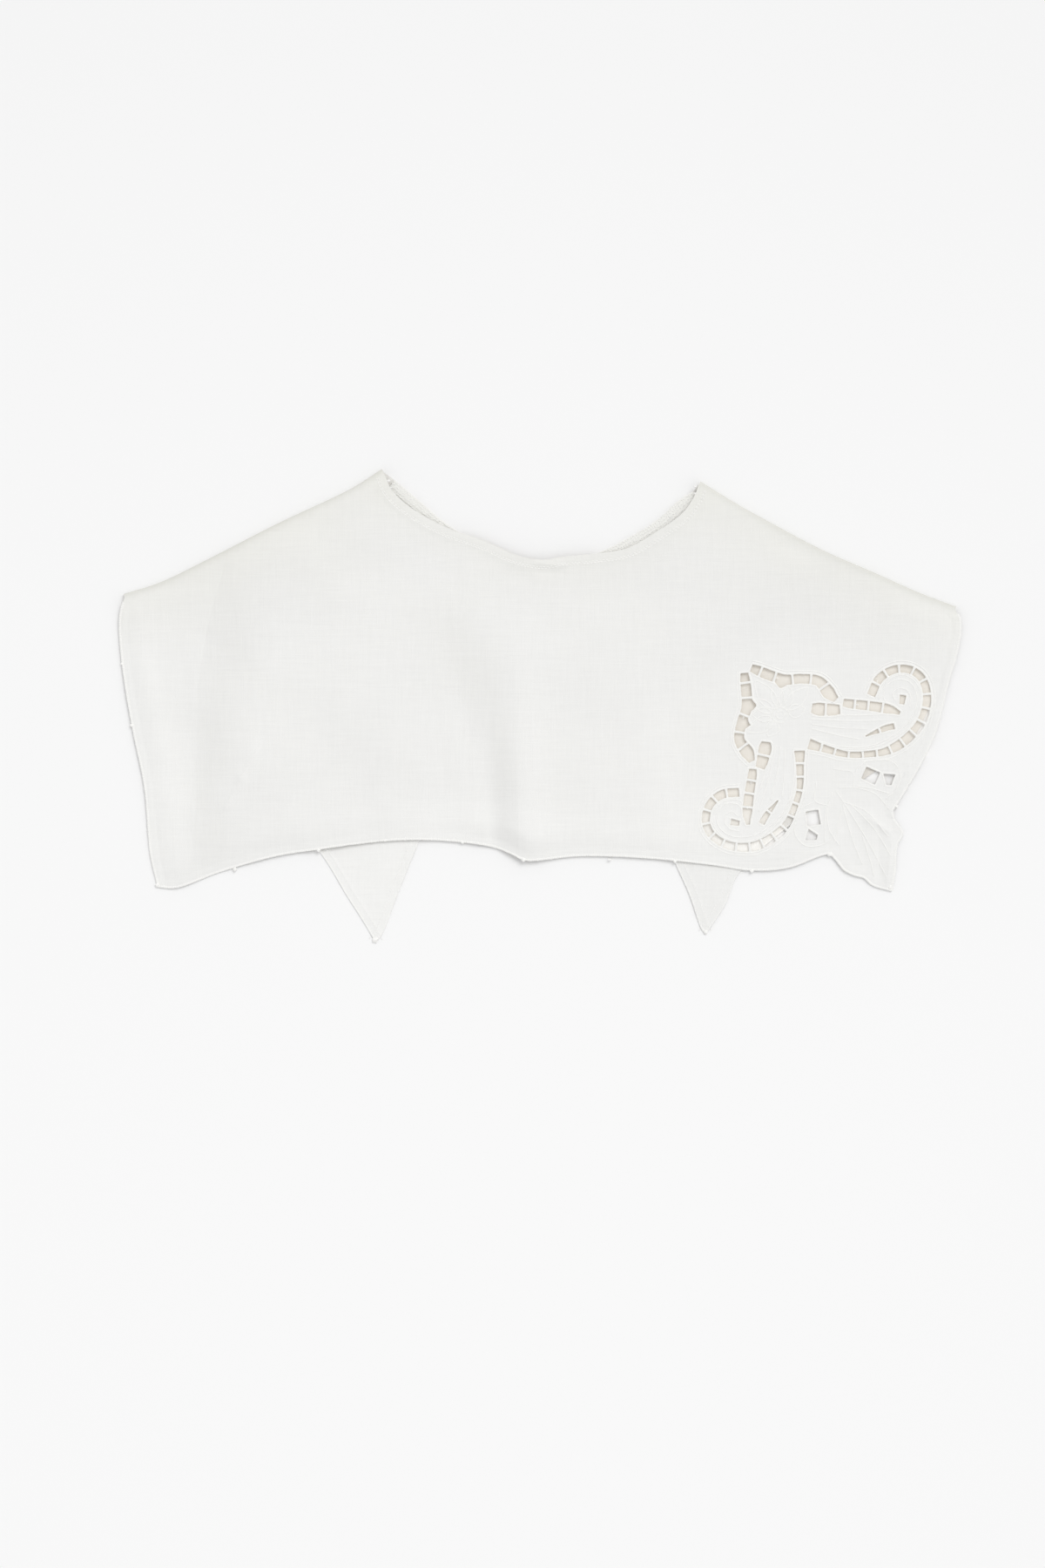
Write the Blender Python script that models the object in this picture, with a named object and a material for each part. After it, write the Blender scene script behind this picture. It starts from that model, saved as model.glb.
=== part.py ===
"""Detachable cape collar of white linen, laid flat on a surface.

The near layer is the whole back panel, with a scooped neck and a cutwork corner that ends in a leaf.
The far layer is two fronts, each running down from the shoulder fold to a point that shows below the hem.
Both fronts carry the rolled fold of the shoulder, and a narrow facing lies along their neckline.
Axes: +X to the right of the collar as it is seen, +Y towards its neck, +Z up. Sizes in millimetres are
turned into metres by MM. The origin is under the middle of the whole collar, on the surface it lies on.
"""
import math
from collections import namedtuple

import bmesh
import bpy
from mathutils import Vector
from mathutils.geometry import delaunay_2d_cdt

MM = 0.001

# Cloth and seams
CLOTH = 1.0              # wall of one layer of linen
SEAM_GAP = 0.3           # clearance between pieces that are sewn together
FACING_WIDTH = 8.0       # stitched band inside the fronts' neckline
FACING_Z = CLOTH + SEAM_GAP

# Shoulder fold
ROLL_RADIUS = 2.0        # from the roll's axis to the middle of the wall
ROLL_STEPS = 6           # facets round the half turn
ROLL_OUTSIDE = ROLL_RADIUS + CLOTH / 2
SHOULDER_UNDERSIDE = 2 * ROLL_RADIUS
SHOULDER_BLEND = 16.0    # the near layer leaves the height of the fold over this distance

# Fineness
OUTLINE_STEP = 6.0
LEAF_STEP = 4.0
FRONT_STEP = 12.0
CHANNEL_STEP = 0.25
PANEL_GRID = 11.5
FRONT_GRID = 36.0
CLEAR_OF_EDGE = 0.45     # share of the grid that a filling point keeps from an edge
CLEAR_OF_CREST = 0.6     # and from a fold's own points
CREST_HEIGHT = 2.0       # folds as high as this have points of their own
CREST_STEP = 12.0
CREST_OFFSETS = (-2.0, -1.3, -0.65, 0.0, 0.6, 1.2)  # in reaches of the fold, to its left and right
SMOOTH_ANGLE = math.radians(40)

Point = namedtuple("Point", "x y")
Lift = namedtuple("Lift", "x y height")
Fold = namedtuple("Fold", "x0 y0 x1 y1 left right height0 height1")
Station = namedtuple("Station", "along across width")
Channel = namedtuple("Channel", "stations holes taper bars", defaults=(None,))

# The collar's outline seen from above, clockwise from the left end of the neck. Each stretch runs
# between two corners, and a smooth curve goes through its points.
SHOULDER_LEFT = [Point(-94.5, 141.5), Point(-111.5, 130.5), Point(-157.5, 108.5),
                 Point(-198.5, 87.5), Point(-226.5, 74.0), Point(-248.5, 67.0)]
SHOULDER_RIGHT = [Point(96.0, 134.0), Point(117.0, 121.0), Point(134.0, 111.5),
                  Point(169.0, 93.0), Point(200.0, 79.5), Point(227.0, 67.5), Point(248.5, 59.5)]
NECK = [Point(-88.5, 129.0), Point(-77.5, 118.5), Point(-56.0, 106.5), Point(-31.0, 97.5),
        Point(-14.5, 90.0), Point(2.0, 87.0), Point(13.0, 89.0), Point(31.0, 90.5),
        Point(52.0, 94.0), Point(69.0, 103.5), Point(85.0, 115.0), Point(92.0, 125.0)]
SIDE_LEFT = [Point(-250.0, 58.0), Point(-251.0, 49.0), Point(-249.5, 26.5), Point(-243.5, -11.5),
             Point(-236.0, -48.5), Point(-232.5, -88.5), Point(-228.0, -108.0)]
HEM = [Point(-228.0, -108.0), Point(-217.5, -108.5), Point(-191.0, -99.0), Point(-157.5, -89.5),
       Point(-132.0, -85.5), Point(-92.5, -80.5), Point(-62.5, -80.0), Point(-36.5, -82.5),
       Point(-25.0, -85.0), Point(-16.5, -88.5), Point(-9.0, -92.0), Point(23.5, -89.5),
       Point(60.0, -90.5), Point(101.0, -94.5), Point(126.0, -98.0), Point(148.0, -96.5),
       Point(167.0, -89.5), Point(173.0, -88.0)]
LEAF_LOWER = [Point(173.0, -88.0), Point(177.0, -92.5), Point(181.5, -98.0), Point(187.5, -101.0),
              Point(193.0, -102.5), Point(198.5, -107.0), Point(210.0, -110.5)]
LEAF_UPPER = [Point(210.0, -110.5), Point(212.0, -99.5), Point(213.0, -84.0),
              Point(216.5, -75.5), Point(211.5, -67.5), Point(210.5, -62.5)]
SIDE_RIGHT = [Point(210.5, -62.5), Point(215.5, -54.5), Point(226.0, -37.0), Point(235.0, -18.5),
              Point(245.0, 18.5), Point(248.0, 28.0), Point(251.0, 44.0), Point(250.5, 53.0)]

# The two fronts: neckline from the shoulder down to the centre, inner edge down to the point, and
# outer edge back up to the end of the shoulder. Their middles lie hidden under the back panel.
FRONT_NECK_LEFT = [Point(-86.5, 134.5), Point(-80.5, 129.5), Point(-69.5, 120.0), Point(-59.0, 111.0),
                   Point(-41.5, 99.0), Point(-23.5, 87.5), Point(-9.0, 80.5)]
FRONT_NECK_RIGHT = [Point(91.5, 128.0), Point(83.0, 122.5), Point(69.5, 110.5), Point(52.5, 100.0),
                    Point(36.5, 92.0), Point(18.0, 84.5), Point(2.0, 80.5)]
FRONT_INNER_LEFT = [Point(-9.0, 80.5), Point(-73.0, -82.0), Point(-85.0, -112.0),
                    Point(-94.5, -136.5), Point(-98.0, -141.0)]
FRONT_INNER_RIGHT = [Point(2.0, 80.5), Point(81.0, -94.0), Point(89.5, -113.0),
                     Point(96.5, -133.0), Point(99.0, -136.0)]
FRONT_OUTER_LEFT = [Point(-98.0, -141.0), Point(-106.0, -127.5), Point(-115.0, -113.5),
                    Point(-131.0, -87.5), Point(-192.5, -13.5), Point(-247.0, 56.0)]
FRONT_OUTER_RIGHT = [Point(99.0, -136.0), Point(110.0, -119.0), Point(118.5, -100.0),
                     Point(152.0, -69.0), Point(190.0, -46.0), Point(223.0, -19.0),
                     Point(238.0, 18.0), Point(245.5, 52.0)]

# How far the back panel's underside lies above the surface, from its corners and hem to its middle
LIFT_SPREAD = 24.0       # a lift's weight falls off over this distance
FAR_WEIGHT = 0.0001      # what is left of it far away, so that the height is defined everywhere
LOWEST_UNDERSIDE = 0.1
LIFTS = [
    # left edge and lower left corner
    Lift(-239, 26, 2.4), Lift(-231, -26, 1.6), Lift(-229, -73, 0.8), Lift(-224, -105, 0.2),
    # along the hem
    Lift(-198, -99, 1.4), Lift(-156, -86, 3.0), Lift(-114, -78, 3.4), Lift(-88, -77, 2.6),
    Lift(-62, -75, 1.6), Lift(-34, -78, 1.3), Lift(10, -86, 2.8), Lift(52, -86, 2.2),
    Lift(94, -91, 2.0), Lift(130, -93, 2.2), Lift(156, -91, 2.2),
    # leaf and right edge
    Lift(174, -86, 1.4), Lift(192, -93, 1.0), Lift(209, -105, 0.2), Lift(213, -73, 1.0),
    Lift(224, -36, 1.6), Lift(237, 0, 2.0), Lift(247, 37, 3.2),
    # across the middle
    Lift(-208, 26, 5.0), Lift(-218, -47, 3.0), Lift(-187, -62, 4.2), Lift(-166, 57, 6.0),
    Lift(-166, -21, 6.0), Lift(-114, 31, 7.0), Lift(-62, 57, 6.5), Lift(-62, -21, 4.8),
    Lift(0, 57, 6.0), Lift(0, -21, 5.0), Lift(52, 31, 6.5), Lift(52, -36, 5.0),
    Lift(104, 57, 6.0), Lift(104, -5, 3.2), Lift(146, 16, 2.6), Lift(146, -26, 2.0),
    Lift(198, 22, 2.0), Lift(198, -21, 1.8), Lift(208, 57, 4.5), Lift(171, 4, 1.8),
    # round the lower scroll and the leaf's base
    Lift(110, -54, 1.9), Lift(125, -67, 1.8), Lift(166, -62, 1.7), Lift(187, -62, 1.5),
    # below the neck
    Lift(-83, 109, 3.2), Lift(83, 99, 3.2), Lift(0, 81, 2.8), Lift(-31, 89, 2.8), Lift(36, 86, 2.8),
    Lift(-62, 100, 2.8), Lift(62, 92, 2.8),
]

# Folds of the back panel: each crest or trough runs from (x0, y0) to (x1, y1), reaches left and right
# of its line, and rises from height0 to height1. A trough has negative heights. At both ends a fold
# fades over FOLD_FADE of its length, half of it past the end.
FOLD_FADE = 0.24
FOLDS = [
    Fold(-12, 55, -9, -98, 9, 24, 0.8, 7.0),         # the main fold, steep on its left
    Fold(-42, 40, -27, -98, 12, 9, -0.4, -1.2),      # the hollow beside it
    Fold(-186, 84, -204, 4, 6, 12, -1.2, -0.5),      # crease down from the left shoulder
    Fold(-200, 10, -190, -92, 14, 12, -0.4, -1.6),   # left trough
    Fold(-228, 20, -222, -98, 8, 8, 0.4, 1.0),       # ridge along the left edge
    Fold(-166, -20, -188, -62, 5, 6, 0.3, 1.1),      # short slanted crease
    Fold(-106, -12, -104, -80, 10, 10, -0.3, -1.4),  # trough above the left point
    Fold(118, 40, 100, -60, 20, 20, 0.3, 0.6),       # soft swell left of the cutwork
]

# Cutwork corner, drawn on its own axes: along runs from the flower to the corner, across runs towards
# the upper scroll. The lower half is the mirrored upper half, drawn in a little. The bars between the
# holes stand evenly along a channel, or at the shares of its length given as its bars.
FLOWER = Point(143.3, -5.4)
ALONG = Point(0.592, -0.806)
ACROSS = Point(0.806, 0.592)
LOWER_HALF = 0.93
HALF_BAR = 0.75          # half the width of a bar between two holes
SURROUND = Channel([     # round the flower
    Station(-33.4, 2.3, 4.6), Station(-28.8, 5.2, 6.2), Station(-24.5, 7.8, 6.5),
    Station(-15.5, 14.5, 6.5), Station(-9.5, 23.5, 6.0), Station(-2.5, 30.5, 6.5),
    Station(6.6, 31.2, 8.4), Station(13.0, 32.4, 4.0)], 6, 1.0,
    (0.0, 0.114, 0.272, 0.458, 0.645, 0.806, 1.0))
SCROLL_INSIDE = Channel([  # on from there to the scroll's eye
    Station(15.8, 34.2, 4.8), Station(19.4, 37.6, 5.8), Station(24.3, 43.0, 6.0),
    Station(30.5, 49.5, 6.2), Station(37.0, 55.5, 7.0), Station(42.0, 58.5, 5.0)], 4, 0.5,
    (0.0, 0.215, 0.44, 0.68, 1.0))
SCROLL = Channel([       # round the scroll and back to the flower
    Station(23.0, 50.0, 5.6), Station(17.6, 60.5, 5.6), Station(18.5, 71.0, 5.2),
    Station(24.5, 78.6, 5.2), Station(32.0, 81.0, 5.2), Station(39.8, 79.0, 5.2),
    Station(46.8, 74.0, 5.4), Station(53.5, 64.5, 6.0), Station(56.0, 54.5, 6.2),
    Station(56.2, 45.0, 6.0), Station(54.5, 37.0, 4.8), Station(50.8, 30.0, 4.2),
    Station(42.8, 18.4, 4.0), Station(31.0, 8.8, 5.0), Station(23.5, 3.2, 7.0)], 17, 1.0)
PETAL_GAPS = Channel([   # between the flower and the surround
    Station(7.7, 16.8, 4.6), Station(10.7, 19.8, 7.0), Station(16.8, 27.7, 7.0),
    Station(18.8, 31.2, 5.6)], 2, 1.0)
LEAF_SLIT = Channel([    # the slit beside the scroll's leaf
    Station(46.0, 51.5, 4.0), Station(43.7, 46.3, 4.0), Station(40.2, 33.0, 2.2)], 2, 0.5)
EYE = Channel([Station(38.2, 61.8, 3.4), Station(33.4, 66.6, 4.4)], 1, 1.0)
CORNER_HOLES = [Channel([Station(56.6, 19.6, 8.0), Station(65.6, 24.6, 8.4)], 1, 1.0),
                Channel([Station(66.5, 32.0, 8.0), Station(72.5, 27.0, 3.0)], 1, 1.0)]
CUTWORK = [SURROUND, SCROLL_INSIDE, PETAL_GAPS, SCROLL, LEAF_SLIT, EYE] + CORNER_HOLES

# Middle of the collar's box on these axes, which becomes the origin
CENTRE = Point(0.05, 0.25)

# Soft white matt linen, and how much of its lightness each layer keeps
LINEN = (0.89, 0.885, 0.87)
LINEN_ROUGHNESS = 0.85
BACK_SHADE = 1.0
FRONT_SHADE = 0.985
FACING_SHADE = 0.995


def remove_everything():
    for old in list(bpy.data.objects):
        bpy.data.objects.remove(old, do_unlink=True)


def linen(name, shade):
    """Matt linen, a little darker by shade."""
    material = bpy.data.materials.new(name)
    material.use_nodes = True
    surface = material.node_tree.nodes["Principled BSDF"]
    surface.inputs["Base Color"].default_value = [c * shade for c in LINEN] + [1.0]
    surface.inputs["Roughness"].default_value = LINEN_ROUGHNESS
    surface.inputs["Metallic"].default_value = 0.0
    return material


def curve(points, step):
    """Points about one step apart on a smooth curve through the given points, both ends included."""
    knots = [Vector(p) for p in points]
    knots = [2 * knots[0] - knots[1]] + knots + [2 * knots[-1] - knots[-2]]
    out = []
    for p0, p1, p2, p3 in zip(knots, knots[1:], knots[2:], knots[3:]):
        t1 = (p1 - p0).length ** 0.5
        t2 = t1 + (p2 - p1).length ** 0.5
        t3 = t2 + (p3 - p2).length ** 0.5
        count = max(1, round((p2 - p1).length / step))
        for i in range(count):
            t = t1 + (t2 - t1) * i / count
            a1 = p0 * ((t1 - t) / t1) + p1 * (t / t1)
            a2 = p1 * ((t2 - t) / (t2 - t1)) + p2 * ((t - t1) / (t2 - t1))
            a3 = p2 * ((t3 - t) / (t3 - t2)) + p3 * ((t - t2) / (t3 - t2))
            b1 = a1 * ((t2 - t) / t2) + a2 * (t / t2)
            b2 = a2 * ((t3 - t) / (t3 - t1)) + a3 * ((t - t1) / (t3 - t1))
            out.append(b1 * ((t2 - t) / (t2 - t1)) + b2 * ((t - t1) / (t2 - t1)))
    out.append(knots[-2])
    return out


def side_normals(line):
    """Unit normals in the plane, to the left of the line's direction."""
    normals = []
    for i in range(len(line)):
        run = line[min(i + 1, len(line) - 1)] - line[max(i - 1, 0)]
        normals.append(Vector((-run.y, run.x)).normalized())
    return normals


def shifted(line, distance):
    """The line moved sideways, to the left of its direction."""
    return [p + n * distance for p, n in zip(line, side_normals(line))]


def distance_to_line(p, line):
    """Shortest distance from a point to a polyline."""
    best = math.inf
    for a, b in zip(line, line[1:]):
        run = b - a
        share = min(1.0, max(0.0, (p - a).dot(run) / run.length_squared))
        best = min(best, (p - a - run * share).length)
    return best


def inside(p, ring):
    """Whether a point lies inside a closed ring."""
    crossings = False
    for a, b in zip(ring, ring[1:] + ring[:1]):
        if (a.y > p.y) != (b.y > p.y) and p.x < a.x + (b.x - a.x) * (p.y - a.y) / (b.y - a.y):
            crossings = not crossings
    return crossings


def smooth(share):
    """Eased from 0 to 1."""
    share = min(1.0, max(0.0, share))
    return share * share * (3 - 2 * share)


def fill(rings, grid, crests=()):
    """Triangles over the first ring less the others, with a grid of points and the crests inside."""
    outline, holes = rings[0], rings[1:]
    points = [p for ring in rings for p in ring]
    edges = []
    start = 0
    for ring in rings:
        edges += [(start + i, start + (i + 1) % len(ring)) for i in range(len(ring))]
        start += len(ring)
    closed = [ring + ring[:1] for ring in rings]

    def clear(p):
        return min(distance_to_line(p, ring) for ring in closed) > CLEAR_OF_EDGE * grid

    low_x, high_x = min(p.x for p in outline), max(p.x for p in outline)
    low_y, high_y = min(p.y for p in outline), max(p.y for p in outline)
    row_height = grid * math.sqrt(3) / 2
    for row in range(int((high_y - low_y) / row_height) + 1):
        for column in range(int((high_x - low_x) / grid) + 1):
            p = Vector((low_x + (column + 0.5 * (row % 2)) * grid, low_y + row * row_height))
            free = all((p - crest).length > CLEAR_OF_CREST * grid for crest in crests)
            if free and inside(p, outline) and not any(inside(p, hole) for hole in holes) and clear(p):
                points.append(p)
    points += [crest for crest in crests if inside(crest, outline) and clear(crest)]
    points, _, triangles, _, _, _ = delaunay_2d_cdt(points, edges, [], 0, 0.0001)
    kept = []
    for triangle in triangles:
        middle = sum((points[i] for i in triangle), Vector((0, 0))) / 3
        if inside(middle, outline) and not any(inside(middle, hole) for hole in holes):
            kept.append(tuple(triangle))
    return points, kept


def wall(name, middle, normals, faces, thickness, material):
    """A closed wall: the sheet moved half the thickness along its normals each way, and its edges closed."""
    mesh = bmesh.new()
    centre = Vector((*CENTRE, 0))
    half = thickness / 2
    upper = [mesh.verts.new((p + n * half - centre) * MM) for p, n in zip(middle, normals)]
    lower = [mesh.verts.new((p - n * half - centre) * MM) for p, n in zip(middle, normals)]
    edges = set()
    for face in faces:
        mesh.faces.new([upper[i] for i in face])
        mesh.faces.new([lower[i] for i in reversed(face)])
        for a, b in zip(face, face[1:] + face[:1]):
            edges.add((a, b))
    for a, b in sorted(edges):
        if (b, a) not in edges:
            mesh.faces.new([upper[b], upper[a], lower[a], lower[b]])
    bmesh.ops.delete(mesh, geom=[v for v in mesh.verts if not v.link_faces], context="VERTS")
    bmesh.ops.triangulate(mesh, faces=mesh.faces[:])
    data = bpy.data.meshes.new(name)
    mesh.to_mesh(data)
    mesh.free()
    data.shade_smooth()
    data.set_sharp_from_angle(angle=SMOOTH_ANGLE)
    piece = bpy.data.objects.new(name, data)
    piece.data.materials.append(material)
    bpy.context.scene.collection.objects.link(piece)
    return piece


def upward(points, triangles):
    """The triangles turned to face up."""
    out = []
    for a, b, c in triangles:
        turn = (points[b] - points[a]).cross(points[c] - points[a])
        out.append((a, b, c) if turn > 0 else (a, c, b))
    return out


def lift_at(p):
    """Height of the back panel's underside before its folds, a weighted mean of the lifts near by."""
    total = weights = 0.0
    for lift in LIFTS:
        away = ((p.x - lift.x) ** 2 + (p.y - lift.y) ** 2) / LIFT_SPREAD ** 2
        weight = math.exp(-away) + FAR_WEIGHT / (1 + away)
        total += weight * lift.height
        weights += weight
    return total / weights


def fold_at(p, fold):
    """What one fold adds at a point."""
    start, end = Vector((fold.x0, fold.y0)), Vector((fold.x1, fold.y1))
    run = end - start
    along = (p - start).dot(run) / run.length_squared
    off = (p - start).cross(run) / run.length
    reach = fold.left if off < 0 else fold.right
    fade = smooth((along + FOLD_FADE / 2) / FOLD_FADE)
    height = fold.height0 + (fold.height1 - fold.height0) * min(1.0, max(0.0, along))
    return height * fade * math.exp(-(off / reach) ** 2)


def crest_points():
    """Rows of points along the high folds, so that their flanks keep their shape."""
    points = []
    for fold in FOLDS:
        if abs(fold.height1) < CREST_HEIGHT:
            continue
        start, end = Vector((fold.x0, fold.y0)), Vector((fold.x1, fold.y1))
        run = end - start
        across = Vector((-run.y, run.x)).normalized()
        count = round(run.length / CREST_STEP)
        for i in range(count + 1):
            for offset in CREST_OFFSETS:
                reach = fold.left if offset < 0 else fold.right
                points.append(start + run * i / count + across * offset * reach)
    return points


def panel_underside(p, shoulders):
    """Height of the back panel's underside: lifts and folds, drawn to the roll's height at the shoulders."""
    height = lift_at(p) + sum(fold_at(p, fold) for fold in FOLDS)
    near = min(distance_to_line(p, line) for line in shoulders)
    share = smooth(near / SHOULDER_BLEND)
    return max(LOWEST_UNDERSIDE, SHOULDER_UNDERSIDE + (height - SHOULDER_UNDERSIDE) * share)


def placed(station, side):
    """A point of the cutwork's own axes on the panel; side is 1 for the upper half and -1 for the lower."""
    across = station[1] * (1 if side > 0 else -LOWER_HALF)
    return Vector(FLOWER) + station[0] * Vector(ALONG) + across * Vector(ACROSS)


def cut_holes(channel, side):
    """The holes along one channel, each a closed ring between two bars."""
    middle = curve([placed(s, side) for s in channel.stations], CHANNEL_STEP)
    normals = side_normals(middle)
    lengths = [0.0]
    for a, b in zip(middle, middle[1:]):
        lengths.append(lengths[-1] + (b - a).length)
    marks = []
    for s in channel.stations:
        spot = placed(s, side)
        marks.append(lengths[min(range(len(middle)), key=lambda i: (middle[i] - spot).length)])

    def at(length):
        """Point, normal and channel width at a length along the channel."""
        i = min(range(len(lengths)), key=lambda k: abs(lengths[k] - length))
        before = max(k for k in range(len(marks) - 1) if marks[k] <= length or k == 0)
        share = (length - marks[before]) / (marks[before + 1] - marks[before])
        first, second = channel.stations[before].width, channel.stations[before + 1].width
        return middle[i], normals[i], first + (second - first) * share

    rings = []
    bars = channel.bars or [k / channel.holes for k in range(channel.holes + 1)]
    for k in range(channel.holes):
        low, high = bars[k] * lengths[-1] + HALF_BAR, bars[k + 1] * lengths[-1] - HALF_BAR
        near, far = [], []
        for share in (0.0, 0.5, 1.0):
            p, n, width = at(low + (high - low) * share)
            if share == 1.0 and k == channel.holes - 1:
                width *= channel.taper
            near.append(p + n * width / 2)
            far.append(p - n * width / 2)
        rings.append(near + far[::-1])
    return rings


def back_panel(shoulder_axes):
    """The near layer: one wall with its folds, cut through in the corner."""
    left, right = [shifted(line, turn * SEAM_GAP) for line, turn in zip(shoulder_axes, (1, -1))]
    outline = left + curve([left[-1]] + SIDE_LEFT, OUTLINE_STEP)[1:]
    outline += curve(HEM, OUTLINE_STEP)[1:]
    outline += curve(LEAF_LOWER, LEAF_STEP)[1:] + curve(LEAF_UPPER, LEAF_STEP)[1:]
    outline += curve(SIDE_RIGHT + [right[-1]], OUTLINE_STEP)[1:]
    outline += right[::-1][1:] + curve([left[0]] + NECK + [right[0]], OUTLINE_STEP)[::-1][1:-1]
    holes = [ring for channel in CUTWORK for side in (1, -1) for ring in cut_holes(channel, side)]
    points, triangles = fill([outline] + holes, PANEL_GRID, crest_points())
    middle = [Vector((p.x, p.y, panel_underside(p, (left, right)) + CLOTH / 2)) for p in points]
    up = [Vector((0, 0, 1))] * len(points)
    return wall("back_panel", middle, up, upward(points, triangles), CLOTH, linen("linen_back", BACK_SHADE))


def front(name, axis, outward, neck, inner, outer):
    """One front: flat on the surface, with the roll of the shoulder fold along its top."""
    flat = axis + curve([axis[-1]] + outer[::-1], FRONT_STEP)[1:]
    flat += curve(inner[::-1], FRONT_STEP)[1:] + curve(neck[::-1] + [axis[0]], FRONT_STEP)[1:-1]
    points, triangles = fill([flat], FRONT_GRID)
    faces = upward(points, triangles)
    middle = [Vector((p.x, p.y, CLOTH / 2)) for p in points]
    normals = [Vector((0, 0, 1))] * len(points)
    rows = [list(range(len(axis)))]
    for step in range(1, ROLL_STEPS + 1):
        angle = math.pi * step / ROLL_STEPS
        rows.append(list(range(len(middle), len(middle) + len(axis))))
        for p, n in zip(axis, outward):
            out = Vector((n.x, n.y, 0))
            rise = CLOTH / 2 + ROLL_RADIUS * (1 - math.cos(angle))
            middle.append(Vector((p.x, p.y, rise)) + out * ROLL_RADIUS * math.sin(angle))
            normals.append(Vector((0, 0, 1)) * math.cos(angle) - out * math.sin(angle))
    clockwise = outward[0].cross(axis[1] - axis[0]) < 0
    for low, high in zip(rows, rows[1:]):
        for i in range(len(axis) - 1):
            quad = (low[i], low[i + 1], high[i + 1], high[i])
            faces.append(quad if clockwise else quad[::-1])
    return wall(name, middle, normals, faces, CLOTH, linen("linen_" + name, FRONT_SHADE))


def neck_facing(name, neck, side):
    """The stitched band inside one front's neckline, lying on the front and reaching down to its centre."""
    edge = curve(neck, OUTLINE_STEP)[1:]
    rows = [edge] + [shifted(edge, side * FACING_WIDTH * share) for share in (0.5, 1.0)]
    flat = [p for row in rows for p in row]
    middle = [Vector((p.x, p.y, FACING_Z + CLOTH / 2)) for p in flat]
    count = len(edge)
    faces = []
    for row in range(len(rows) - 1):
        for i in range(count - 1):
            a = row * count + i
            quad = (a, a + 1, a + count + 1, a + count)
            faces.append(quad if side > 0 else quad[::-1])
    up = [Vector((0, 0, 1))] * len(flat)
    return wall(name, middle, up, faces, CLOTH, linen("linen_" + name, FACING_SHADE))


def build():
    remove_everything()
    fold_left = curve(SHOULDER_LEFT, FRONT_STEP)
    fold_right = curve(SHOULDER_RIGHT, FRONT_STEP)
    axis_left = shifted(fold_left, ROLL_OUTSIDE)
    axis_right = shifted(fold_right, -ROLL_OUTSIDE)
    back_panel((axis_left, axis_right))
    front("front_left", axis_left, [-n for n in side_normals(fold_left)],
          FRONT_NECK_LEFT, FRONT_INNER_LEFT, FRONT_OUTER_LEFT)
    front("front_right", axis_right, side_normals(fold_right),
          FRONT_NECK_RIGHT, FRONT_INNER_RIGHT, FRONT_OUTER_RIGHT)
    neck_facing("neck_facing_left", FRONT_NECK_LEFT, -1)
    neck_facing("neck_facing_right", FRONT_NECK_RIGHT, 1)


build()
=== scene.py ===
# White linen cape collar laid flat, with a cutwork corner. Sizes in mm on the pattern's axes
# (+X right, +Y towards the neck); mm turns them into metres on the frame.
import math

import bpy
import numpy as np
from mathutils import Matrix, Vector, noise
from mathutils.bvhtree import BVHTree
from mathutils.geometry import delaunay_2d_cdt


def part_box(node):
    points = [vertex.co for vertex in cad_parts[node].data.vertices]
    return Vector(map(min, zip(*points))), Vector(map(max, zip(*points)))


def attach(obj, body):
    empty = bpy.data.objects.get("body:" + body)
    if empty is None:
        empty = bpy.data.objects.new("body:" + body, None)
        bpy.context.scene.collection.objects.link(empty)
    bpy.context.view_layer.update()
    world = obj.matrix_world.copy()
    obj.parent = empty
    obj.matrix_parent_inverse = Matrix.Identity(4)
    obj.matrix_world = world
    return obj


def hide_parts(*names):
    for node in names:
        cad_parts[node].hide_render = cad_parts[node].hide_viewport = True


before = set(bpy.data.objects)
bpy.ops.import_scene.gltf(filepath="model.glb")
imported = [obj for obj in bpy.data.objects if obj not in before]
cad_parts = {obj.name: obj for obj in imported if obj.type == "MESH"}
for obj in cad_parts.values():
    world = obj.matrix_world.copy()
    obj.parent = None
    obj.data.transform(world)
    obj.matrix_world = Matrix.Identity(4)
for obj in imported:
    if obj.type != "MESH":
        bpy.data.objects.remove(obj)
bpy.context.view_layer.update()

mm = 0.001
patternCentre = np.array((0.05, 0.25))  # middle of the collar's box on the pattern's axes


# Camera, light and floor

view = {
    "middle": (-10.45, -46.8),   # what the middle of the picture looks at
    "tall": 936.0,               # what the picture's height takes in
    "distance": 2200.0,
    "sensor": 36.0,
    "clipEnd": 50.0,             # metres
}
studio = {
    "keyFrom": (0.62, 1.0, 1.65),    # direction of the window light
    "keySoftness": 34.0,             # degrees across
    "keyStrength": 1.05,
    "roomColour": (1.0, 1.0, 1.0),
    "roomStrength": 0.735,
    # Linen lets light through, so the layer under the cutwork isn't dark: soft lights between the two
    # layers stand for it. Each is (low x, low y, high x, high y, height, watts a square metre).
    "through": [(110.0, -42.0, 160.0, 32.0, 1.2, 0.5), (160.0, -36.0, 200.0, 32.0, 1.2, 0.52),
                (88.0, -89.0, 146.0, -42.0, 1.2, 0.46), (200.0, -30.0, 232.0, -8.0, 1.2, 0.52),
                (200.0, -8.0, 236.0, 34.0, 1.2, 0.56), (146.0, -66.0, 157.0, -42.0, 1.2, 0.46),
                (157.0, -84.0, 186.0, -42.0, 1.2, 0.14), (186.0, -50.0, 222.0, -36.0, 1.2, 0.12)],
    "throughColour": (1.0, 0.95, 0.88),
}
floorLook = {
    "size": 7000.0,
    "colour": (0.935, 0.935, 0.935),
    "tone": 0.995,
    "fall": 0.037,       # painted shade: the paper is painted this much darker a metre further up
    "edges": 0.055,      # and painted darker by this much a metre away from the middle, squared
    "edgesMost": 0.4,    # square metres at which that ends
    "grainScale": 900.0,
    "grainTone": 0.010,
    "roughness": 0.9,
    "sheen": 0.0,
    "specular": 0.1,
}


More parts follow.
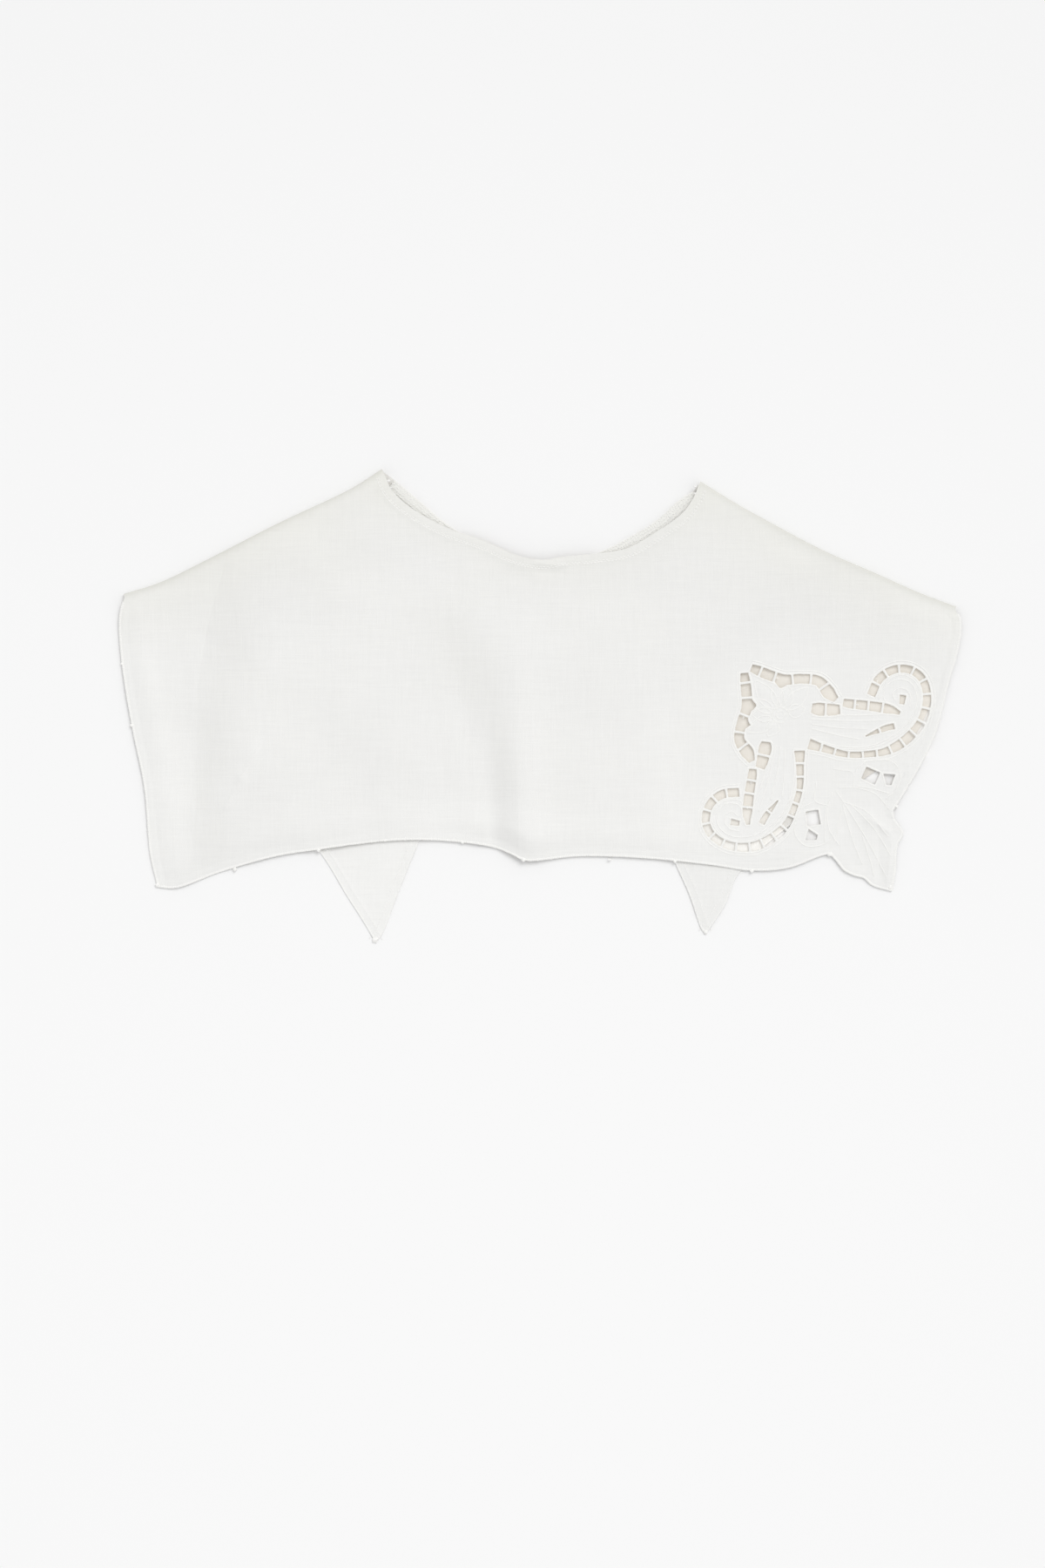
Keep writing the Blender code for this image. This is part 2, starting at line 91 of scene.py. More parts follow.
def deselectAll():
    if bpy.context.object and bpy.context.object.mode != "OBJECT":
        bpy.ops.object.mode_set(mode="OBJECT")
    bpy.ops.object.select_all(action="DESELECT")


def pick(piece):
    deselectAll()
    piece.select_set(True)
    bpy.context.view_layer.objects.active = piece


def addNode(tree, kind, inputs=(), **settings):
    node = tree.nodes.new(kind)
    for key, value in settings.items():
        setattr(node, key, value)
    for key, value in dict(inputs).items():
        if isinstance(value, bpy.types.NodeSocket):
            tree.links.new(value, node.inputs[key])
        else:
            node.inputs[key].default_value = value
    return node


def maths(tree, operation, a, b=0.0, c=0.0):
    return addNode(tree, "ShaderNodeMath", {0: a, 1: b, 2: c}, operation=operation).outputs[0]


def vectorMaths(tree, operation, inputs):
    return addNode(tree, "ShaderNodeVectorMath", inputs, operation=operation).outputs[0]


def cloud(tree, place, scale, detail):
    return addNode(tree, "ShaderNodeTexNoise", {"Vector": place, "Scale": scale, "Detail": detail}).outputs[0]


def newMaterial(name, look):
    material = bpy.data.materials.new(name)
    material.use_nodes = True
    tree = material.node_tree
    surface = tree.nodes["Principled BSDF"]
    surface.inputs["Roughness"].default_value = look["roughness"]
    surface.inputs["Sheen Weight"].default_value = look["sheen"]
    surface.inputs["Specular IOR Level"].default_value = look["specular"]
    place = addNode(tree, "ShaderNodeTexCoord").outputs["Object"]
    return material, tree, surface, place


def colourSurface(tree, surface, colour, tone):
    toned = vectorMaths(tree, "SCALE", {0: colour, 3: tone})
    tree.links.new(toned, surface.inputs["Base Color"])


def bumpSurface(tree, surface, height, distance, strength):
    bump = addNode(tree, "ShaderNodeBump", {"Height": height, "Distance": distance * mm,
                                            "Strength": strength})
    tree.links.new(bump.outputs[0], surface.inputs["Normal"])


def addCamera():
    data = bpy.data.cameras.new("camera")
    data.sensor_width = view["sensor"]
    data.lens = view["sensor"] * view["distance"] / view["tall"]
    data.clip_end = view["clipEnd"]
    camera = bpy.data.objects.new("camera", data)
    bpy.context.scene.collection.objects.link(camera)
    camera.location = Vector((*view["middle"], view["distance"])) * mm
    bpy.context.scene.camera = camera


def addLight(name, kind, place, **settings):
    data = bpy.data.lights.new(name, kind)
    for key, value in settings.items():
        setattr(data, key, value)
    light = bpy.data.objects.new(name, data)
    bpy.context.scene.collection.objects.link(light)
    light.location = place
    return light


def addLights():
    world = bpy.data.worlds.new("room")
    bpy.context.scene.world = world
    world.use_nodes = True
    room = world.node_tree.nodes["Background"]
    room.inputs["Color"].default_value = (*studio["roomColour"], 1)
    room.inputs["Strength"].default_value = studio["roomStrength"]
    key = addLight("key", "SUN", Vector(studio["keyFrom"]), angle=math.radians(studio["keySoftness"]),
                   energy=studio["keyStrength"])
    key.rotation_euler = (-key.location).to_track_quat("-Z", "Y").to_euler()
    for lowX, lowY, highX, highY, height, strength in studio["through"]:
        wide, tall = (highX - lowX) * mm, (highY - lowY) * mm
        spot = np.array(((lowX + highX) / 2, (lowY + highY) / 2)) - patternCentre
        addLight("through", "AREA", Vector((*spot, height)) * mm, shape="RECTANGLE", size=wide, size_y=tall,
                 energy=strength * wide * tall, color=studio["throughColour"])


def addFloor():
    deselectAll()
    bpy.ops.mesh.primitive_plane_add(size=floorLook["size"] * mm, location=(0, 0, 0))
    floor = bpy.context.active_object
    floor.name = "floor"
    material, tree, surface, place = newMaterial("floorPaper", floorLook)
    # painted shade on the paper: darker further up and further from the middle
    up = addNode(tree, "ShaderNodeSeparateXYZ", {0: place}).outputs[1]
    tone = maths(tree, "MULTIPLY_ADD", up, -floorLook["fall"], floorLook["tone"])
    grain = cloud(tree, place, floorLook["grainScale"], 3.0)
    tone = maths(tree, "MULTIPLY_ADD", grain, floorLook["grainTone"], tone)
    away = addNode(tree, "ShaderNodeVectorMath", {0: place, 1: place}, operation="DOT_PRODUCT")
    away = maths(tree, "MINIMUM", away.outputs["Value"], floorLook["edgesMost"])
    tone = maths(tree, "MULTIPLY_ADD", away, -floorLook["edges"], tone)
    colourSurface(tree, surface, floorLook["colour"], tone)
    floor.data.materials.append(material)


bpy.context.scene.view_settings.view_transform = "Standard"
bpy.context.scene.view_settings.look = "None"
addCamera()
addLights()
addFloor()
print("camera, light and floor made")


# Lines and areas

def smoothLine(points, step):
    # points about one step apart on a smooth curve through the given ones, both ends included
    knots = np.array(points, float)
    knots = np.vstack([2 * knots[0] - knots[1], knots, 2 * knots[-1] - knots[-2]])
    out = []
    for p0, p1, p2, p3 in zip(knots, knots[1:], knots[2:], knots[3:]):
        t1 = np.linalg.norm(p1 - p0) ** 0.5
        t2 = t1 + np.linalg.norm(p2 - p1) ** 0.5
        t3 = t2 + np.linalg.norm(p3 - p2) ** 0.5
        count = max(1, round(np.linalg.norm(p2 - p1) / step))
        t = (t1 + (t2 - t1) * np.arange(count) / count)[:, None]
        a1 = p0 * ((t1 - t) / t1) + p1 * (t / t1)
        a2 = p1 * ((t2 - t) / (t2 - t1)) + p2 * ((t - t1) / (t2 - t1))
        a3 = p2 * ((t3 - t) / (t3 - t2)) + p3 * ((t - t2) / (t3 - t2))
        b1 = a1 * ((t2 - t) / t2) + a2 * (t / t2)
        b2 = a2 * ((t3 - t) / (t3 - t1)) + a3 * ((t - t1) / (t3 - t1))
        out.append(b1 * ((t2 - t) / (t2 - t1)) + b2 * ((t - t1) / (t2 - t1)))
    return np.vstack(out + [knots[-2:-1]])


def leftNormals(line):
    run = np.gradient(line, axis=0)
    normals = np.stack([-run[:, 1], run[:, 0]], axis=1)
    return normals / np.maximum(np.linalg.norm(normals, axis=1), 1e-9)[:, None]


def beside(line, distance):
    return line + leftNormals(line) * distance


def lengthsAlong(line):
    return np.concatenate([[0], np.cumsum(np.linalg.norm(np.diff(line, axis=0), axis=1))])


def spaced(line, step):
    # the same line with its points evenly one step apart
    along = lengthsAlong(line)
    count = max(2, int(round(along[-1] / step)) + 1)
    marks = np.linspace(0, along[-1], count)
    return np.stack([np.interp(marks, along, line[:, k]) for k in range(line.shape[1])], axis=1)


def distanceTo(points, line):
    best = np.full(len(points), np.inf)
    for a, b in zip(line, line[1:]):
        run = b - a
        share = np.clip(((points - a) @ run) / max(run @ run, 1e-12), 0, 1)
        best = np.minimum(best, np.linalg.norm(points - a - share[:, None] * run, axis=1))
    return best


def within(points, ring):
    found = np.zeros(len(points), bool)
    low, high = ring.min(0), ring.max(0)
    near = np.nonzero(np.all((points >= low) & (points <= high), axis=1))[0]
    x, y = points[near, 0], points[near, 1]
    odd = np.zeros(len(near), bool)
    for a, b in zip(ring, np.roll(ring, -1, axis=0)):
        if a[1] != b[1]:
            odd ^= ((a[1] > y) != (b[1] > y)) & (x < a[0] + (b[0] - a[0]) * (y - a[1]) / (b[1] - a[1]))
    found[near] = odd
    return found


def ease(share):
    share = np.clip(share, 0, 1)
    return share * share * (3 - 2 * share)


def rounded(ring, times):
    # corners of a closed ring cut off a little more each time
    for _ in range(times):
        after = np.roll(ring, -1, axis=0)
        ring = np.stack([0.75 * ring + 0.25 * after, 0.25 * ring + 0.75 * after], axis=1).reshape(-1, 2)
    return ring


# The pattern

pattern = {
    "shoulderLeft": [(-94.5, 141.5), (-111.5, 130.5), (-157.5, 108.5), (-198.5, 87.5), (-226.5, 74.0),
                     (-248.5, 67.0)],
    "shoulderRight": [(96.0, 134.0), (117.0, 121.0), (134.0, 111.5), (169.0, 93.0), (200.0, 79.5),
                      (227.0, 67.5), (248.5, 59.5)],
    "neck": [(-88.5, 129.0), (-77.5, 118.5), (-56.0, 106.5), (-31.0, 97.5), (-14.5, 90.0), (2.0, 87.0),
             (13.0, 89.0), (31.0, 90.5), (52.0, 94.0), (69.0, 103.5), (85.0, 115.0), (92.0, 125.0)],
    "sideLeft": [(-250.0, 58.0), (-251.0, 49.0), (-249.5, 26.5), (-243.5, -11.5), (-236.0, -48.5),
                 (-232.5, -88.5), (-228.0, -108.0)],
    "hem": [(-228.0, -108.0), (-217.5, -108.5), (-191.0, -99.0), (-157.5, -89.5), (-132.0, -85.5),
            (-92.5, -80.5), (-62.5, -80.0), (-36.5, -82.5), (-25.0, -85.0), (-16.5, -88.5), (-9.0, -92.0),
            (23.5, -89.5), (60.0, -90.5), (101.0, -94.5), (126.0, -98.0), (148.0, -96.5),
            (167.0, -89.5), (173.0, -88.0)],
    "leafLower": [(173.0, -88.0), (177.0, -92.5), (181.5, -98.0), (187.5, -101.0), (193.0, -102.5),
                  (198.5, -107.0), (210.0, -110.5)],
    "leafUpper": [(210.0, -110.5), (212.0, -99.5), (213.0, -84.0), (216.5, -75.5), (211.5, -67.5),
                  (210.5, -62.5)],
    "sideRight": [(210.5, -62.5), (215.5, -54.5), (226.0, -37.0), (235.0, -18.5), (245.0, 18.5),
                  (248.0, 28.0), (251.0, 44.0), (250.5, 53.0)],
    "foldOutside": 2.5,     # from the roll's axis to the outside of the shoulder fold
    "foldRadius": 2.0,      # to the middle of the cloth
    "foldSteps": 10,
    "foldBottom": 0.5,      # height of the cloth where it comes out of the roll underneath
    "foldLeast": 0.5,       # the roll is pressed down to this share of its height at its outer end,
    "foldEnd": 252.0,       # which is this far from the middle,
    "foldTaper": 60.0,      # and over this length
    "foldStep": 2.8,
    "edgeStep": 1.6,
    "leafStep": 1.0,
}
fronts = {
    "Left": {
        "neck": [(-86.5, 134.5), (-80.5, 129.5), (-69.5, 120.0), (-59.0, 111.0), (-41.5, 99.0), (-23.5, 87.5),
                 (-9.0, 80.5)],
        "inner": [(-9.0, 80.5), (-73.0, -82.0), (-85.0, -112.0), (-94.5, -136.5), (-98.0, -141.0)],
        "outer": [(-98.0, -141.0), (-106.0, -127.5), (-115.0, -113.5), (-131.0, -87.5), (-192.5, -13.5),
                  (-247.0, 56.0)],
    },
    "Right": {
        "neck": [(91.5, 128.0), (83.0, 122.5), (69.5, 110.5), (52.5, 100.0), (36.5, 92.0), (18.0, 84.5),
                 (2.0, 80.5)],
        "inner": [(2.0, 80.5), (81.0, -94.0), (89.5, -113.0), (96.5, -133.0), (99.0, -136.0)],
        "outer": [(99.0, -136.0), (110.0, -119.0), (118.5, -100.0), (152.0, -69.0), (190.0, -46.0),
                  (223.0, -19.0), (238.0, 18.0), (245.5, 52.0)],
    },
}

# Cutwork on the motif's own axes: along from the flower to the corner, across towards the upper scroll.
# Stations are (along, across, width). Bars stand at shares of a channel's length, or evenly.
# A tooth is (half, hole, share of the hole, depth): a notch between two of the flower's petals.
cutwork = {
    "flower": (143.3, -5.4),
    "along": (0.592, -0.806),
    "across": (0.806, 0.592),
    "lowerHalf": 0.93,      # the lower half is drawn in by this
    "halfBar": 0.6,
    "middleStep": 0.25,     # between the points of a channel's middle line
    "edgeStep": 0.8,        # between the points of a hole's edge
    "toothReach": 3.2,
    "channels": {
        "surround": {
            "stations": [(-33.4, 2.3, 4.8), (-28.8, 5.2, 6.4), (-24.5, 7.8, 6.7), (-15.5, 14.5, 6.6),
                         (-9.5, 23.5, 6.0), (-2.5, 30.5, 6.5), (6.6, 31.2, 8.4), (13.0, 32.4, 4.0)],
            "bars": (0, 0.114, 0.272, 0.458, 0.645, 0.806, 1),
            "teeth": [(1, 2, 0.4, 2.6), (-1, 2, 0.4, 2.8), (-1, 3, 0.45, 3.0)],
        },
        "scrollInside": {
            "stations": [(15.8, 34.2, 4.8), (19.4, 37.6, 5.8), (24.3, 43.0, 6.0), (30.5, 49.5, 6.2),
                         (37.0, 55.5, 7.0), (42.0, 58.5, 5.0)],
            "bars": (0, 0.215, 0.44, 0.68, 1), "taper": 0.5,
        },
        "petalGaps": {
            "stations": [(7.4, 17.1, 5.4), (10.4, 20.1, 8.2), (16.6, 27.8, 7.2), (18.8, 31.2, 5.6)],
            "bars": 2,
        },
        "scroll": {
            "stations": [(23.0, 50.0, 5.6), (17.6, 60.5, 5.6), (18.5, 71.0, 5.2), (24.5, 78.6, 5.2),
                         (32.0, 81.0, 5.2), (39.8, 79.0, 5.2), (46.8, 74.0, 5.4), (53.5, 64.5, 6.0),
                         (56.0, 54.5, 6.2), (56.2, 45.0, 6.0), (54.5, 37.0, 4.8), (50.8, 30.0, 4.2),
                         (42.8, 18.4, 4.0), (31.0, 8.8, 5.0), (23.5, 3.2, 7.0)],
            "bars": 17,
        },
        "leafSlit": {
            "stations": [(46.0, 51.5, 4.0), (43.7, 46.3, 4.0), (40.2, 33.0, 2.2)],
            "bars": 2, "taper": 0.5,
        },
        "eye": {"stations": [(38.2, 61.8, 3.4), (33.4, 66.6, 4.4)], "bars": 1},
        "cornerInner": {"stations": [(56.6, 19.6, 8.0), (65.6, 24.6, 8.4)], "bars": 1},
        "cornerOuter": {"stations": [(66.5, 32.0, 8.0), (72.5, 27.0, 3.0)], "bars": 1},
    },
}


# Embroidery on the same axes. A petal is (angle from the along axis, reach, half width); each line of
# "halves" is sewn on both halves and each of "corner" once. "beside" follows a channel's outer edge.
embroidery = {
    "ring": 4.6,
    "ringInner": 2.3,
    "petalStart": 5.4,
    "petalRoot": 0.9,       # half width where it leaves the ring
    "lineStep": 0.8,
    "petals": [(180, 25.5, 4.4), (152, 20.0, 3.2), (125, 17.6, 3.8), (98, 23.5, 4.0), (68, 15.6, 3.4)],
    "padding": 0.28,
    "paddingRise": 0.7,     # share of a petal's half width over which its padding rises
    "lineReach": 1.3,       # how far a sewn line lifts the cloth beside it
    "halves": {
        "leafMidrib": [(13.5, 14.0), (24.0, 27.0), (33.0, 39.0), (38.5, 47.0)],
        "leafUpperVein": [(11.5, 15.0), (20.5, 27.5), (29.5, 40.0), (36.5, 50.5)],
        "leafLowerVein": [(16.0, 12.5), (28.0, 25.0), (37.0, 36.5)],
        "leafLowest": [(18.5, 11.0), (30.0, 20.5), (39.5, 29.5)],
        "volute": [(24.0, 8.0), (36.0, 17.5), (46.0, 31.0), (49.5, 45.0), (49.3, 56.0), (45.5, 66.0),
                   (39.0, 72.5), (31.0, 74.0), (25.0, 70.0), (23.5, 62.0), (28.0, 56.0), (33.0, 55.5)],
        "voluteInside": [(29.0, 9.5), (39.5, 19.5), (47.5, 31.5), (51.2, 45.0), (51.5, 56.5), (47.5, 67.5),
                         (40.0, 74.8), (31.0, 76.6), (23.5, 72.5), (21.5, 63.0), (26.0, 54.0), (33.0, 52.5)],
        "voluteCore": [(33.0, 60.5), (29.5, 61.5), (28.8, 65.5), (31.8, 69.3), (37.0, 69.3), (41.2, 65.5)],
        "lobe": [(61.4, 11.7), (67.0, 17.5), (75.9, 24.5)],
        "lobeInner": [(45.4, 7.3), (53.7, 14.5), (60.0, 10.0)],
        "lobeOuter": [(53.5, 17.0), (52.5, 24.0), (56.0, 31.5), (62.5, 37.5), (71.0, 37.0), (76.5, 29.5),
                      (77.5, 22.0)],
        "cornerSide": [(56.0, 3.0), (62.0, 11.0), (72.0, 18.0), (83.0, 19.0)],
    },
    "corner": {
        "midrib": [(57.0, 0.0), (75.0, -1.0), (96.6, -3.0), (115.0, -6.0)],
        "rightVein": [(64.5, 0.1), (76.7, 7.3), (96.3, 9.0)],
        "leftVein": [(67.9, -4.6), (74.7, -12.0), (80.0, -18.0)],
        "lowVein": [(66.0, -2.0), (85.0, -9.0), (100.0, -13.0)],
        "highVein": [(66.0, 2.0), (88.0, 5.0), (106.0, 3.5)],
        "tipVein": [(88.0, -3.5), (103.0, -8.5), (110.0, -11.5)],
    },
    "beside": {"surround": 1.9, "scroll": 2.0},
}
bothHalves = (1, -1)


def onCloth(points, half):
    # from the motif's axes to the pattern's; half is 1 for the upper one and -1 for the lower
    points = np.atleast_2d(np.array(points, float))
    across = points[:, 1] * (1 if half > 0 else -cutwork["lowerHalf"])
    return (np.array(cutwork["flower"]) + points[:, :1] * np.array(cutwork["along"])
            + across[:, None] * np.array(cutwork["across"]))


def channelSides(channel, half):
    # the holes' rings, both edges along them, and where each bar crosses: (left, right, outward)
    stations = channel["stations"]
    spots = onCloth([s[:2] for s in stations], half)
    middle = smoothLine(spots, cutwork["middleStep"])
    along = lengthsAlong(middle)
    marks = [along[np.argmin(np.linalg.norm(middle - spot, axis=1))] for spot in spots]
    widths = np.interp(along, marks, [s[2] for s in stations])
    normals = leftNormals(middle)
    bars = channel["bars"]
    shares = np.linspace(0, 1, bars + 1) if isinstance(bars, int) else np.array(bars)
    rings, edges, crossings = [], ([], []), []
    for k in range(len(shares) - 1):
        low = shares[k] * along[-1] + cutwork["halfBar"]
        high = shares[k + 1] * along[-1] - cutwork["halfBar"]
        at = np.linspace(low, high, max(4, round((high - low) / cutwork["edgeStep"])))
        centre = np.stack([np.interp(at, along, middle[:, i]) for i in (0, 1)], axis=1)
        out = np.stack([np.interp(at, along, normals[:, i]) for i in (0, 1)], axis=1)
        wide = np.interp(at, along, widths)
        if "taper" in channel and k == len(shares) - 2:
            wide = wide * np.interp(at, [low, high], [1, channel["taper"]])
        reach = {1: wide / 2, -1: wide / 2}
        flowerSide = 1 if out.mean(0) @ (np.array(cutwork["flower"]) - centre.mean(0)) > 0 else -1
        for toothHalf, hole, share, depth in channel.get("teeth", ()):
            if toothHalf == half and hole == k:
                tip = low + (high - low) * share
                off = abs(at - tip) / cutwork["toothReach"]
                reach[flowerSide] = reach[flowerSide] + depth * np.clip(1 - off, 0, 1)
        left = centre + out * reach[1][:, None]
        right = centre - out * reach[-1][:, None]
        rings.append(rounded(np.vstack([left, right[::-1]]), 2))
        edges[0].append(left)
        edges[1].append(right)
        crossings.append((left[0], right[0], out[0]))
    crossings.append((left[-1], right[-1], out[-1]))
    return rings, [np.vstack(edge) for edge in edges], crossings


channelForms = [channelSides(channel, half) for channel in cutwork["channels"].values()
                for half in bothHalves]
holes = [ring for form in channelForms for ring in form[0]]


def petalOutline(angle, reach, wide, half):
    # from the ring up one side of the petal to its point and down the other
    share = np.linspace(0, 1, 14)
    run = embroidery["petalStart"] + (reach - embroidery["petalStart"]) * share
    belly = wide * np.sin(math.pi * share ** 0.8) ** 0.85 + embroidery["petalRoot"] * (1 - share)
    there = np.column_stack([run, belly])
    outline = np.vstack([there, (there * (1, -1))[::-1][1:]])
    a = math.radians(angle)
    turned = outline @ np.array(((math.cos(a), math.sin(a)), (-math.sin(a), math.cos(a))))
    return onCloth(turned, half)


def petalOutlines():
    # each with its half width; the petal on the motif's axis is there once
    return [(petalOutline(angle, reach, wide, half), wide) for angle, reach, wide in embroidery["petals"]
            for half in (bothHalves if angle < 180 else (1,))]


def sewnLines(step):
    lines = [smoothLine(onCloth(points, half), step) for points in embroidery["halves"].values()
             for half in bothHalves]
    return lines + [smoothLine(onCloth(points, 1), step) for points in embroidery["corner"].values()]


def embroideredLines():
    lines = []
    for radius in (embroidery["ring"], embroidery["ringInner"]):
        turn = np.linspace(0, 2 * math.pi, 40)
        lines.append(onCloth(np.column_stack([np.cos(turn), np.sin(turn)]) * radius, 1))
    lines += [outline for outline, _ in petalOutlines()]
    lines += sewnLines(embroidery["lineStep"])
    for name, distance in embroidery["beside"].items():
        for half in bothHalves:
            edges = channelSides(cutwork["channels"][name], half)[1]
            away = [np.linalg.norm(edge - np.array(cutwork["flower"]), axis=1).mean() for edge in edges]
            outer = 0 if away[0] > away[1] else 1
            lines.append(beside(spaced(edges[outer], 1.2), distance if outer == 0 else -distance))
    return lines


def paddedHeights(points):
    # the petals and the leaf stand up a little over their padding
    out = np.zeros(len(points))
    for outline, wide in petalOutlines():
        inside = within(points, outline)
        rise = ease(distanceTo(points[inside], outline) / (embroidery["paddingRise"] * wide))
        out[inside] = np.maximum(out[inside], embroidery["padding"] * rise)
    for line in sewnLines(2.0):
        off = distanceTo(points, line) / embroidery["lineReach"]
        out = np.maximum(out, 0.5 * embroidery["padding"] * np.exp(-off ** 2))
    return out


print("pattern read")


# The form the cloth rests in

relief = {
    "step": 2.0,             # grid on which the solid's top is read
    "soften": 5.0,           # its facets are evened out over this distance
    "margin": 8.0,
    "wall": 1.0,             # the solid's wall
    "least": 0.45,           # the cloth's middle is never lower than this
    "shoulderBlend": 13.0,
    "hemWidth": 3.2,
    "hemHeight": 0.28,
    "hemShares": (0.6, 0.3, 1.3),  # of it on the left side, along the bottom and on the right side
    "hemEase": 0.8,          # its step down to the cloth
    "pressedAt": 5.6,        # an old pressed line runs beside the hem
    "pressedLine": 0.16,
    "pressedWidth": 0.45,
    "hemSink": 0.65,         # the hems hang down towards what they lie on, by this share at the edge
    "hemSinkWidth": 15.0,
    "frontRest": 1.7,        # the cloth's height on a front, and on the surface
    "floorRest": 0.8,
    "frontEase": 12.0,
    "cutworkSink": 0.6,      # the cutwork comes down by this share, within its reach of its middle
    "cutworkRest": 1.6,
    "cutworkMiddle": (30, 0),
    "cutworkReach": 78.0,
    "give": 0.25,            # troughs may go this much lower
    "motifMiddle": (45, 0),
    "motifReach": 100.0,
    "neckWidth": 6.0,
    "neckHeight": 0.3,
    "neckEase": 0.9,
    "neckRows": (4.3, 5.3),  # two rows of stitches hold the neck's hem
    "rowWidth": 0.5,
    "stitchedIn": 0.14,
}
# Creases, each from its start to its end: reach to the left and right of it, height at both ends, and
# how crisp its line is, from 0 for soft to 1 for pressed
creases = {
    "mainEdge": ((-15.5, 44), (-12.5, -92), 7.0, 15, 0.1, 0.5, 1),
    "mainHollow": ((-33, 20), (-26, -88), 5, 8, -0.3, -1.5, 0),
    "mainDiagonal": ((-62, 54), (-34, -34), 8, 10, -0.25, -1.0, 0),
    "litRidge": ((-56, -6), (-36, -80), 9, 7, 0.2, 0.7, 0),
    "shoulderPress": ((-187, 88), (-200, 40), 4.5, 9, -1.2, -0.9, 1),
    "shoulderPressLower": ((-199, 44), (-205, 4), 4.5, 9, -0.9, -0.4, 1),
    "leftGroove": ((-204, 0), (-207, -92), 7, 10, -0.3, -1.1, 0.5),
    "slanted": ((-166, -21), (-178.5, -43), 2.6, 3.6, 0.6, 1.0, 0.8),
    "slantedLower": ((-178, -42), (-189, -63), 2.6, 3.6, 1.0, 0.4, 0.8),
    "besideSlanted": ((-178, -26), (-200, -72), 6, 4, -0.3, -0.5, 0.3),
    "cornerRidge": ((-224, -46), (-218, -104), 9, 9, 0.4, 0.9, 0),
    "edgeWave": ((-238, 30), (-228, -30), 6, 7, 0.5, 0.3, 0),
    "pointTrough": ((-108, -20), (-103, -64), 9, 8, -0.15, -0.7, 0),
    "hemCup": ((-118, -64), (-113, -84), 24, 24, 0.1, 1.0, 0),
    "leftWide": ((-150, 60), (-158, -10), 16, 12, -0.3, -0.5, 0),
    "fromNeck": ((-40, 84), (-52, 40), 5, 7, 0.3, 0.1, 0.4),
    "neckPinch": ((-3, 84.5), (15, 83.5), 1.6, 1.6, 0.7, 0.5, 0.7),
    "neckPinchHollow": ((-2, 80.5), (16, 79.5), 2.4, 2.4, -0.5, -0.4, 0.3),
    "neckDent": ((-22, 78), (-4, 74), 4, 5, -0.3, -0.5, 0),
    "rightSoft": ((36, 60), (30, -70), 10, 12, 0.35, 0.25, 0),
    "rightSecond": ((74, 50), (84, -60), 12, 9, -0.3, -0.35, 0),
    "rightShoulder": ((150, 92), (172, 40), 8, 10, 0.4, 0.15, 0.2),
    "rightShoulderTwo": ((196, 72), (206, 36), 6, 8, -0.35, -0.1, 0),
    "sleeveRight": ((236, 52), (228, 6), 5, 8, -0.5, -0.3, 0.2),
    "edgeFlute": ((238, 0), (213.5, -50), 2.2, 2.6, 0.8, 1.0, 0.6),
    "edgeFluteTwo": ((229, -4), (206, -50), 2.6, 2.6, 0.6, 0.9, 0.5),
    "leafRim": ((210, -78), (207, -106), 2, 2.6, 1.0, 0.8, 0.6),
    "leafRimTwo": ((202, -70), (202.5, -102), 2.6, 2.4, -0.8, -0.6, 0.5),
    "leafBend": ((195, -66), (209, -76), 2.6, 2.6, 0.7, 1.0, 0.5),
    "leafFold": ((196, -62), (206, -98), 5, 6, 0.5, 0.6, 0.3),
    "leafHollow": ((184, -70), (190, -96), 4, 5, -0.3, -0.4, 0),
}
creaseEnd = 0.15         # share of its length over which a crease fades, on both sides of each end
pressedSharpness = 1.6
ripples = [(58.0, 0.32), (23.0, 0.16), (9.0, 0.05)]  # size and height of the cloth's own unevenness


def creaseHeights(points, table):
    total = np.zeros(len(points))
    for start, end, left, right, height0, height1, crisp in table.values():
        start, run = np.array(start, float), np.array(end, float) - np.array(start, float)
        length = np.linalg.norm(run)
        along = ((points - start) @ run) / length ** 2
        off = ((points - start)[:, 0] * run[1] - (points - start)[:, 1] * run[0]) / length
        reach = np.where(off < 0, right, left)
        soft = np.exp(-(off / reach) ** 2)
        pressed = np.exp(-abs(off) * pressedSharpness / reach)
        fade = (ease((along + creaseEnd) / (2 * creaseEnd))
                * ease((1 + creaseEnd - along) / (2 * creaseEnd)))
        height = height0 + (height1 - height0) * np.clip(along, 0, 1)
        total += height * fade * (soft * (1 - crisp) + pressed * crisp)
    return total


def unevenness(points, size, level):
    return np.array([noise.noise((x / size, y / size, level)) for x, y in points])


def solidTops():
    # the top of the back panel's solid on a grid, evened out
    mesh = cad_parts["back_panel"].data
    tree = BVHTree.FromPolygons([v.co for v in mesh.vertices], [p.vertices for p in mesh.polygons])
    step, margin = relief["step"], relief["margin"]
    boxLow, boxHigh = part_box("back_panel")
    low = np.array(boxLow[:2]) / mm + patternCentre - margin
    high = np.array(boxHigh[:2]) / mm + patternCentre + margin
    xs, ys = np.arange(low[0], high[0], step), np.arange(low[1], high[1], step)
    tops = np.zeros((len(xs), len(ys)))
    down, above = Vector((0, 0, -1)), 0.05
    for i, x in enumerate(xs):
        for j, y in enumerate(ys):
            spot = (np.array((x, y)) - patternCentre) * mm
            hit = tree.ray_cast(Vector((*spot, above)), down)[0]
            if hit is None:
                hit = tree.find_nearest(Vector((*spot, boxHigh[2])))[0]
            tops[i, j] = hit.z / mm
    reach = int(3 * relief["soften"] / step)
    bell = np.exp(-0.5 * (np.arange(-reach, reach + 1) * step / relief["soften"]) ** 2)
    bell /= bell.sum()
    for axis in (0, 1):
        wide = np.pad(tops, [(reach, reach) if k == axis else (0, 0) for k in (0, 1)], mode="edge")
        tops = np.apply_along_axis(lambda row: np.convolve(row, bell, mode="valid"), axis, wide)
    return xs, ys, tops


